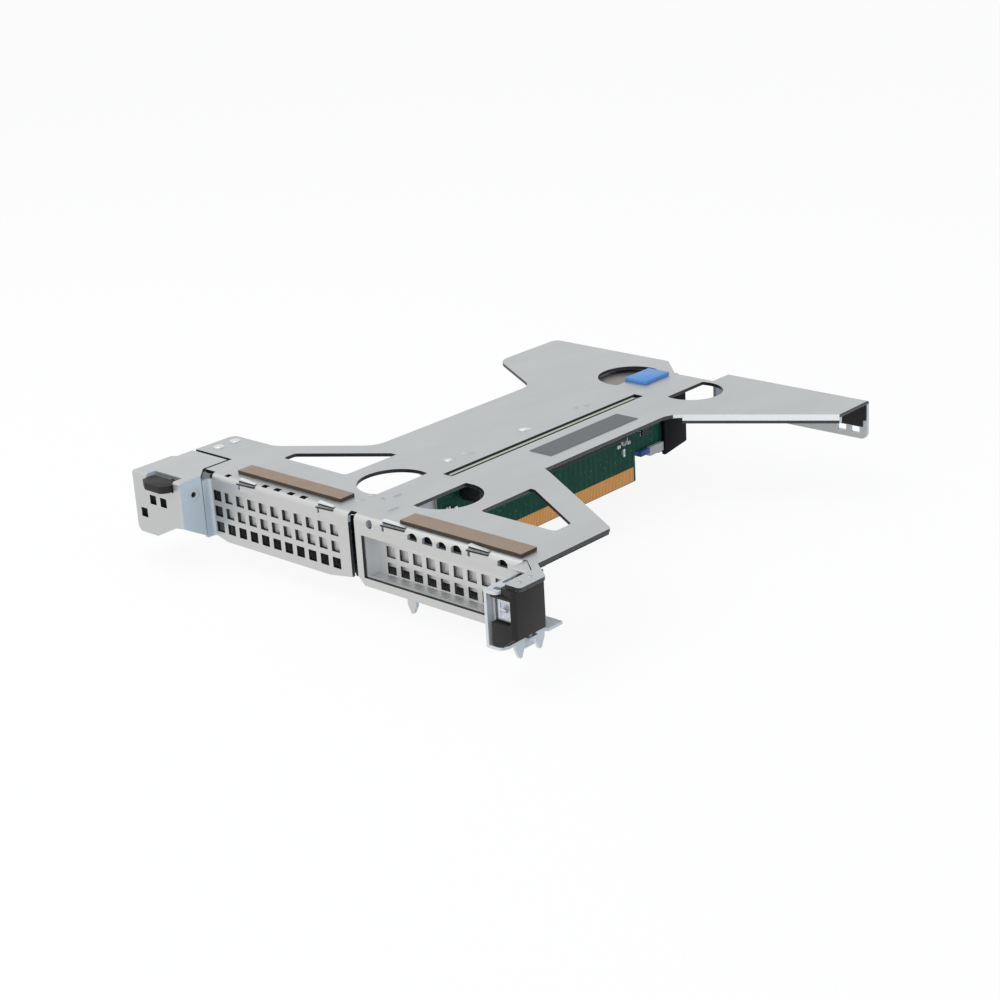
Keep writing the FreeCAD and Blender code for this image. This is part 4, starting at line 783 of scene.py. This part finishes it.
# %% Gold fingers
low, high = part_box("edge_contacts")
PITCH, WIDTH, THICK, CORNER = 0.001, 0.00082, 0.00005, 0.00022
runs = ((along(49.15), 14), (along(67.15), 101))
fingers = []
for number, (start, count) in enumerate(runs, start=1):
    finger = block(f"gold_fingers_{number}_right", (high.x - THICK, start, low.z),
                   (high.x, start + WIDTH, high.z))
    round_edges(finger, CORNER, 2,
                lambda mid, way: abs(way.x) > STRAIGHT and mid.z > high.z - CLOSE)
    repeat(finger, count, (0, PITCH, 0))
    other = again(finger, f"gold_fingers_{number}_left", (low.x + THICK - high.x, 0, 0))
    fingers += [finger, other]
for finger in fingers:
    dress(finger, gold, "cage")
    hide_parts("edge_contacts")
print("finger runs:", len(fingers), "faces in the longest:", len(fingers[2].data.polygons))

# %% [markdown]
# The rivets of the ear have domed heads that catch the light. A head is a round whose top face
# is lifted and drawn in four times, which leaves a low dome, and its shank stays plain.

# %% Domed rivets
low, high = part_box("ear_rivets")
HEAD, SHANK, RIVET_STEP, SHEET_TOP = 0.0024, 0.0014, 0.009, PLATE_Z / 1000
first = place(-106.1, 24.0, 0)
shank = round_bar("ear_rivet_front", (first.x, first.y, (low.z + SHEET_TOP) / 2), SHANK,
                  SHEET_TOP - low.z, "z")
head = round_bar("ear_rivet_head", (first.x, first.y, SHEET_TOP + 0.0001), HEAD, 0.0002, "z", 32)
pick_faces(head, lambda mid, way: way.z > STRAIGHT)
for scale, rise in ((0.86, 0.00022), (0.72, 0.00016), (0.5, 0.00008), (0.3, 0.00003)):
    extrude(0, 0, rise)
    bpy.ops.transform.resize(value=(scale, scale, 1))
done()
rivet = join([shank, head], "ear_rivet_front")
smooth(rivet, 40)
rear_rivet = again(rivet, "ear_rivet_rear", (0, RIVET_STEP, 0))
for piece in (rivet, rear_rivet):
    dress(piece, bright, "cage")
    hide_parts("ear_rivets")
print("rivet height:", round((max(v.co.z for v in rivet.data.vertices) - low.z) * 1000, 2), "mm")

# %% [markdown]
# Two pan-head screws hold the board. The head is a round with softened rim, and the cross in
# it is cut out by a tool made of two crossed blocks.

# %% Board screws
HEAD_RADIUS, HEAD_RISE, SHANK_RADIUS, SHANK_LENGTH = 0.0024, 0.0013, 0.0012, 0.0028
CROSS_LONG, CROSS_WIDE, CROSS_FLOOR, CROSS_TOP = 0.0028, 0.0007, 0.0006, 0.002
for label, front in (("front", 46.9), ("rear", 161.0)):
    centre = place(0.8, front, -17.0)
    head = round_bar("board_screw_" + label, centre + Vector((HEAD_RISE / 2, 0, 0)),
                     HEAD_RADIUS, HEAD_RISE, "x", 32)
    soften(head, 0.00035, 3)
    for wide, tall in ((CROSS_LONG, CROSS_WIDE), (CROSS_WIDE, CROSS_LONG)):
        slot_tool = block("cross_tool", centre + Vector((CROSS_FLOOR, -wide / 2, -tall / 2)),
                          centre + Vector((CROSS_TOP, wide / 2, tall / 2)))
        apply_modifier(head, "BOOLEAN", object=slot_tool, operation="DIFFERENCE", solver="EXACT")
        bpy.data.objects.remove(slot_tool)
    shank = round_bar("shank", centre - Vector((SHANK_LENGTH / 2, 0, 0)), SHANK_RADIUS,
                      SHANK_LENGTH, "x", 20)
    screw = join([head, shank], "board_screw_" + label)
    # The screws take the tray's darker zinc, painted shade for where they sit under the plate.
    dress(screw, zinc_in_painted_shade, "cage")
    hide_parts("board_screws")
    print(screw.name, len(screw.data.polygons), "faces")

# %% [markdown]
# Plastic never has truly sharp edges, and the solids do. For each plastic solid a copy of its
# mesh is merged, its flat triangles are joined into whole faces, and its edges are rounded by
# a bevel. The copy then stands for the solid.

# %% Rounded plastic


def rounded_copy(node, name, width, look, body):
    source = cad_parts[node]
    piece = bpy.data.objects.new(name, source.data.copy())
    piece.data.name = name
    bpy.context.scene.collection.objects.link(piece)
    hold(piece)
    if piece.data.has_custom_normals:
        bpy.ops.mesh.customdata_custom_splitnormals_clear()
    edit(piece, "FACE", "SELECT")
    bpy.ops.mesh.remove_doubles(threshold=0.000002)
    bpy.ops.mesh.dissolve_limited(angle_limit=math.radians(0.5))
    done()
    soften(piece, width)
    dress(piece, look, body)
    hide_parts(node)
    return piece


plastic = [
    ("touch_tab", 0.0004, tab_blue, "cage", "blue_plastic"),
    ("end_latch", 0.0003, latch_black, "end_latch", "black_plastic"),
    ("ear_latch", 0.0004, latch_black, "ear_latch", "black_plastic"),
    ("rear_guide", 0.0005, guide_black, "cage", "black_plastic"),
    ("right_card_connector", 0.0002, socket_black, "cage", "socket_plastic"),
    ("left_card_connector", 0.0002, socket_black, "cage", "socket_plastic"),
]
for node, width, look, body, slot in plastic:
    piece = rounded_copy(node, node + "_moulded", width, look, body)
    print(piece.name, len(piece.data.polygons), "faces")

# %% [markdown]
# In the mouth of each card socket stand two rows of contact springs. One spring is a thin
# blade with a bent tip: a short bar is drawn on in two steps, and repeated along the mouth.
# The rows on the other wall bend the other way.

# %% Contact springs
SPRING_LONG, SPRING_WIDE, SPRING_HALF = 0.0052, 0.00045, 0.0001
ROW_GAP = 0.00078  # from the middle of the mouth to a row


def spring_row(name, inner_x, outward, start, count, z, away):
    """Blades from the inner end of the mouth towards its opening, on one of its two walls."""
    length = SPRING_LONG * outward
    near, far = sorted((inner_x, inner_x + length / 2))
    blade = block(name, (near, start, z - SPRING_HALF),
                  (far, start + SPRING_WIDE, z + SPRING_HALF))
    pick_faces(blade, lambda mid, way: way.x * outward > STRAIGHT)
    for step, lift in ((0.3, 0.00022), (0.2, -0.00030)):
        extrude(length * step, 0, lift * away)
    done()
    repeat(blade, count, (0, PITCH, 0))
    smooth(blade, 40)
    dress(blade, gold, "cage")


mouth_z = place(0, 0, -6.4).z
rows = 0
for side, outward in (("right", 1), ("left", -1)):
    inner_x = place(3.7 * outward, 0, 0).x
    for run, (start, count) in enumerate(((58.9, 10), (71.8, 73)), start=1):
        for wall, away in (("upper", -1), ("lower", 1)):
            spring_row(f"{side}_springs_{run}_{wall}", inner_x, outward,
                       along(start), count, mouth_z - ROW_GAP * away, away)
            rows += 1
print("rows of springs:", rows)

# %% [markdown]
# Behind the ear's openings, behind the gap between the bays and at the end of the rear arm there
# is only shade, and dark sheets stand there as painted shade. Each is cut from thin sheet, so it
# starts as a flat block, and its four corners are rounded. The plate's right edge has a black
# strip below it, also painted shade, and the right card socket stands on a flat foot. A small
# round nut with a hollow middle sits behind the ear's screw hole: its face is drawn in and pushed
# back.

# %% Shade sheets, shade strip, foot and nut
# A grey sheet, also painted shade, stands behind the lowest corner vents.
grey_shade_sheet = moulded("grey_shade_sheet_finish", (0.10, 0.105, 0.11, 1), 0.5)
shade_sheets = [
    ("gap_shade_sheet", (-5.35, 3.45, -27.6), (-2.05, 3.75, -2.4), film_and_shade_black),
    ("end_column_shade_sheet", (-88.2, 3.4, -19.4), (-83.02, 3.7, -2.4), film_and_shade_black),
    ("end_corner_shade_sheet", (-88.2, 3.4, -26.3), (-76.65, 3.7, -19.55), grey_shade_sheet),
    ("ear_shade_sheet", (-113.0, -13.95, -19.9), (-96.0, -13.65, -8.75), film_and_shade_black),
    ("arm_end_shade_sheet", (86.1, 219.1, -9.0), (87.6, 219.4, -1.6), film_and_shade_black),
]
for name, low, high, look in shade_sheets:
    sheet = block(name, place(*low), place(*high))
    round_edges(sheet, 0.0005, 3, lambda mid, way: abs(way.y) > STRAIGHT)
    dress(sheet, look, "cage")
# Painted shade: a black strip under the plate's right edge.
shade_strip = block("right_edge_shade_strip", place(88.7, 3.2, -2.3), place(89.8, 42.5, -1.5))
soften(shade_strip, 0.0002)
dress(shade_strip, film_and_shade_black, "cage")
foot = block("connector_foot", place(1.0, 57.6, -11.7), place(11.9, 151.4, -10.15))
round_edges(foot, 0.0012, 3, lambda mid, way: abs(way.z) > STRAIGHT)
soften(foot, 0.0002)
dress(foot, socket_black, "cage")
nut = round_bar("ear_nut", place(-86.35, -8.6, -6.9), 0.0026, 0.0009, "x", 32)
pick_faces(nut, lambda mid, way: way.x > STRAIGHT)
bpy.ops.mesh.inset(thickness=0.0013)
extrude(-0.0006, 0, 0)
done()
soften(nut, 0.0001, 1)
dress(nut, film_and_shade_black, "cage")
print("films:", len(shade_sheets), "and strip, foot and nut")

# %% [markdown]
# The blanking plate stands close behind the left bay's openings. It is bent from thin sheet:
# a short bar at the corner is drawn down into the plate and back into its flange. Where the
# right fold ends, a small gusset of the same sheet closes the corner below the plate.

# %% Blanking plate and gusset
PLATE_DEPTH, FLANGE_DEPTH, GUSSET_LENGTH = 0.0172, 0.0057, 0.0062
blank = block("left_blank_bent", place(-76.6, 1.65, -2.3), place(-5.4, 2.45, -1.5))
pick_faces(blank, lambda mid, way: way.z < -STRAIGHT)
extrude(0, 0, -PLATE_DEPTH)
done()
pick_faces(blank, lambda mid, way: way.y > STRAIGHT and mid.z > place(0, 0, -2.3).z)
extrude(0, FLANGE_DEPTH, 0)
done()
soften(blank, 0.0003)
dress(blank, zinc_blank_painted_light, "cage")
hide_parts("left_blank")
gusset = block("fold_gusset", place(84.1, -5.5, -1.3), place(85.4, 2.3, -0.15))
pick_faces(gusset, lambda mid, way: way.x > STRAIGHT)
extrude(GUSSET_LENGTH, -0.0005, 0)
bpy.ops.transform.resize(value=(1, 0.3, 1))
bpy.ops.transform.translate(value=(0, -0.0022, 0))
done()
soften(gusset, 0.0002)
dress(gusset, zinc_ear, "cage")
print("blanking plate", len(blank.data.polygons), "gusset", len(gusset.data.polygons))

# %% [markdown]
# Through the end latch's window shines the latch's spring: a leaf of bright steel with a sunk
# middle and a tongue bent forward. It stands inside the window and swings with the latch.

# %% Spring of the end latch
# The leaf's front colour, like the cage's, is painted light on faces that look to the front.
leaf_steel = coated_sheet("leaf_steel", (0.70, 0.73, 0.76, 1), (0.58, 0.61, 0.65, 1), 0.3,
                          metallic=0.6, front=(0.62, 0.66, 0.72, 1))
leaf = block("latch_leaf", place(88.5, -17.8, -14.3), place(94.9, -17.0, -6.2))
pick_faces(leaf, lambda mid, way: way.y < -STRAIGHT)
bpy.ops.mesh.inset(thickness=0.0013)
extrude(0, 0.0004, 0)
done()
tongue = block("latch_tongue", place(90.4, -18.6, -10.6), place(93.4, -17.7, -9.9))
pick_faces(tongue, lambda mid, way: way.y < -STRAIGHT)
extrude(0, -0.0005, 0.0009)
done()
leaf = join([leaf, tongue], "latch_leaf")
soften(leaf, 0.00015)
dress(leaf, leaf_steel, "end_latch")
print("latch spring", len(leaf.data.polygons), "faces")

# %% [markdown]
# Small parts are soldered to the board: pale capacitors and resistors with tinned ends, and
# square black chips with legs on two sides. Each kind has its own function, and each part
# stands where its solid stands.

# %% Soldered parts
CAP_FROM = 0.55  # the caps begin at this share of the half length
CHIP_LIFT, LEG_LENGTH, LEG_PITCH_MM, LEG_CORNER = 0.00012, 0.0006, 0.8, 0.0002
chip_black = moulded("chip_black", (0.02, 0.021, 0.022, 1), 0.5)
body_tan = moulded("capacitor_tan", (0.46, 0.42, 0.34, 1), 0.5)
body_white = moulded("resistor_white", (0.72, 0.76, 0.74, 1), 0.45)


def face_of_board(side):
    return place(0.8 * side, 0, 0).x


def two_looks(piece, look):
    for each in (look, solder):
        piece.data.materials.append(each)


def small_part(name, side, y, depth, length, height, rise, look):
    """A body along its longer side with a tinned cap at each end."""
    x = face_of_board(side)
    near, far = sorted((x, x + rise / 1000 * side))
    centre, half = place(0, y, -depth), Vector((0, length / 2000, height / 2000))
    part = block(name, (near, centre.y - half.y, centre.z - half.z),
                 (far, centre.y + half.y, centre.z + half.z))
    axis = "y" if length >= height else "z"
    reach = getattr(half, axis) * CAP_FROM
    for sign in (-1, 1):
        at = Vector(centre)
        setattr(at, axis, getattr(centre, axis) + reach * sign)
        normal = (0, 1, 0) if axis == "y" else (0, 0, 1)
        edit(part, "FACE", "SELECT")
        bpy.ops.mesh.bisect(plane_co=at, plane_no=normal)
        done()
    two_looks(part, look)
    for face in part.data.polygons:
        if abs(getattr(face.center, axis) - getattr(centre, axis)) > reach:
            face.material_index = 1
    soften(part, 0.00008, 1)
    dress(part, None, "cage")
    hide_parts("board_parts")


def black_chip(name, side, y, depth, length, height, rise):
    """A square body with a row of bent legs at its front and its rear."""
    x = face_of_board(side)
    centre = place(0, y, -depth)
    half_body, half_height = length / 2000 - LEG_LENGTH, height / 2000
    near, far = sorted((x + CHIP_LIFT * side, x + rise / 1000 * side))
    body = block(name, (near, centre.y - half_body, centre.z - half_height),
                 (far, centre.y + half_body, centre.z + half_height))
    soften(body, 0.0001, 1)
    two_looks(body, chip_black)
    legs = []
    count = max(2, int(height / LEG_PITCH_MM))
    low_x, high_x = sorted((x, x + rise / 2500 * side))
    for sign in (-1, 1):
        edge = centre.y + half_body * sign
        tip = centre.y + length / 2000 * sign
        leg = block("leg", (low_x, min(edge, tip), centre.z - half_height + 0.0002),
                    (high_x, max(edge, tip), centre.z - half_height + 0.0005))
        two_looks(leg, chip_black)
        round_edges(leg, LEG_CORNER, 2, lambda mid, way: abs(way.z) > STRAIGHT
                    and abs(mid.y - tip) < CLOSE and abs(mid.x - x) > CLOSE)
        repeat(leg, count, (0, 0, (height - 0.7) / 1000 / (count - 1)))
        for face in leg.data.polygons:
            face.material_index = 1
        legs.append(leg)
    chip = join([body] + legs, name)
    dress(chip, None, "cage")
    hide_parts("board_parts")


small_parts = [
    ("part_a", 1, 157.5, 19.0, 2.0, 1.5, 1.0, body_white),
    ("part_b", 1, 160.7, 22.5, 1.3, 3.5, 1.2, body_white),
    ("part_c", 1, 164.6, 18.9, 1.8, 1.5, 0.9, body_tan),
    ("part_d", 1, 53.8, 16.0, 1.6, 5.2, 1.1, body_white),
    ("part_e", 1, 49.5, 13.6, 2.4, 2.4, 0.9, body_tan),
    ("part_f", 1, 74.0, 14.2, 2.0, 1.2, 0.8, body_tan),
    ("part_g", 1, 82.0, 14.2, 2.0, 1.2, 0.8, body_tan),
    ("part_h", 1, 121.0, 14.2, 2.0, 1.2, 0.8, body_tan),
    ("part_i", -1, 126.0, 14.2, 2.0, 1.2, 0.8, body_tan),
]
chips = [
    ("chip_a", 1, 176.0, 15.5, 6.0, 6.0, 1.2),
    ("chip_b", 1, 98.0, 15.0, 4.0, 4.0, 1.0),
    ("chip_c", -1, 98.0, 15.5, 4.0, 4.0, 1.0),
    ("chip_d", -1, 143.0, 15.5, 5.0, 5.0, 1.2),
]
for row in small_parts:
    small_part(*row)
for row in chips:
    black_chip(*row)
print("soldered parts:", len(small_parts) + len(chips))

# %% [markdown]
# Two headers hang from the rear of the board. A header is a block whose lower face is drawn in
# and pushed up, which leaves a wall round a recess, and square pins stand in the recess.

# %% Headers
PIN_HALF = 0.0003


def header(node, name, look, pins):
    low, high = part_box(node)
    shell = block(name, low, high)
    pick_faces(shell, lambda mid, way: way.z < -STRAIGHT)
    bpy.ops.mesh.inset(thickness=0.0006)
    extrude(0, 0, (high.z - low.z) * 0.6)
    done()
    soften(shell, 0.00015)
    dress(shell, look, "cage")
    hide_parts(node)
    step = (high.y - low.y) / pins
    for side, share in (("left", 0.36), ("right", 0.64)):
        x, y = low.x + (high.x - low.x) * share, low.y + step / 2
        pin = block(f"{name}_pins_{side}", (x - PIN_HALF, y - PIN_HALF, low.z + 0.0003),
                    (x + PIN_HALF, y + PIN_HALF, high.z - 0.0004))
        pick_faces(pin, lambda mid, way: way.z < -STRAIGHT)
        bpy.ops.transform.resize(value=(0.5, 0.5, 1))
        done()
        repeat(pin, pins, (0, step, 0))
        dress(pin, gold, "cage")


header("blue_header", "blue_header_shell", header_blue, 3)
header("power_header", "power_header_shell", header_pale, 4)
print("headers ready")

# %% [markdown]
# Shallow marks are pressed into the sheet: two round pips on the cover over the end latch, a
# few short ridges behind the bays, and domes and pips along the slot. Each is a low dome, made
# from a round whose top is drawn in and lifted, so its foot is sharp and its crown is soft, as
# a press leaves it. They stand less than the lances do.

# %% Pressed marks
FOOT_HEIGHT = 0.00004


def pressed_dome(name, x, y, long_half, wide_half, rise, turn_degrees, look):
    nothing_selected()
    bpy.ops.mesh.primitive_cylinder_add(vertices=24, radius=1, depth=FOOT_HEIGHT,
                                        location=(0, 0, 0))
    mark = bpy.context.object
    mark.scale = (long_half / 1000, wide_half / 1000, 1)
    mark.rotation_euler = (0, 0, math.radians(turn_degrees))
    mark.location = place(x, y, 0) + Vector((0, 0, FOOT_HEIGHT / 2))
    settle(name)
    pick_faces(mark, lambda mid, way: way.z > STRAIGHT)
    for scale, share in ((0.82, 0.5), (0.62, 0.3), (0.35, 0.2)):
        extrude(0, 0, rise / 1000 * share)
        bpy.ops.transform.resize(value=(scale, scale, 1))
    done()
    smooth(mark, 60)
    dress(mark, look, "cage")


marks = [
    ("cover_pip_rear", 95.4, -7.8, 0.9, 0.9, 0.35, 0),
    ("cover_pip_front", 95.8, -13.8, 0.9, 0.9, 0.35, 0),
    ("ridge_bay_a", -9.2, 12.4, 2.0, 0.7, 0.3, 35),
    ("ridge_bay_b", -9.3, 18.9, 2.0, 0.7, 0.3, 35),
    ("ridge_bay_c", -2.4, 18.1, 1.8, 0.7, 0.3, -30),
    ("ridge_seam_a", 9.0, 12.3, 3.6, 0.8, 0.3, 90),
    ("ridge_seam_b", -0.4, 24.0, 2.8, 0.7, 0.3, 90),
    ("dome_front", -12.2, 65.2, 2.1, 1.7, 0.45, 0),
    ("dome_middle", -11.6, 111.6, 2.6, 1.8, 0.45, 40),
    ("pip_rear_a", -11.8, 145.6, 0.9, 0.8, 0.35, 0),
    ("pip_rear_b", -9.7, 150.4, 1.1, 0.8, 0.35, 40),
    ("ridge_front", -10.8, 76.0, 2.9, 0.6, 0.35, 37),
]
# Painted highlight and painted shade: domes take the bright finish, and ridges and pips the
# darker ridge zinc.
for row in marks:
    pressed_dome(*row, bright if row[0].startswith("dome") else zinc_ridge_painted_shade)
print("pressed marks:", len(marks))

# %% [markdown]
# Last, nothing is left selected.

# %% The end
nothing_selected()
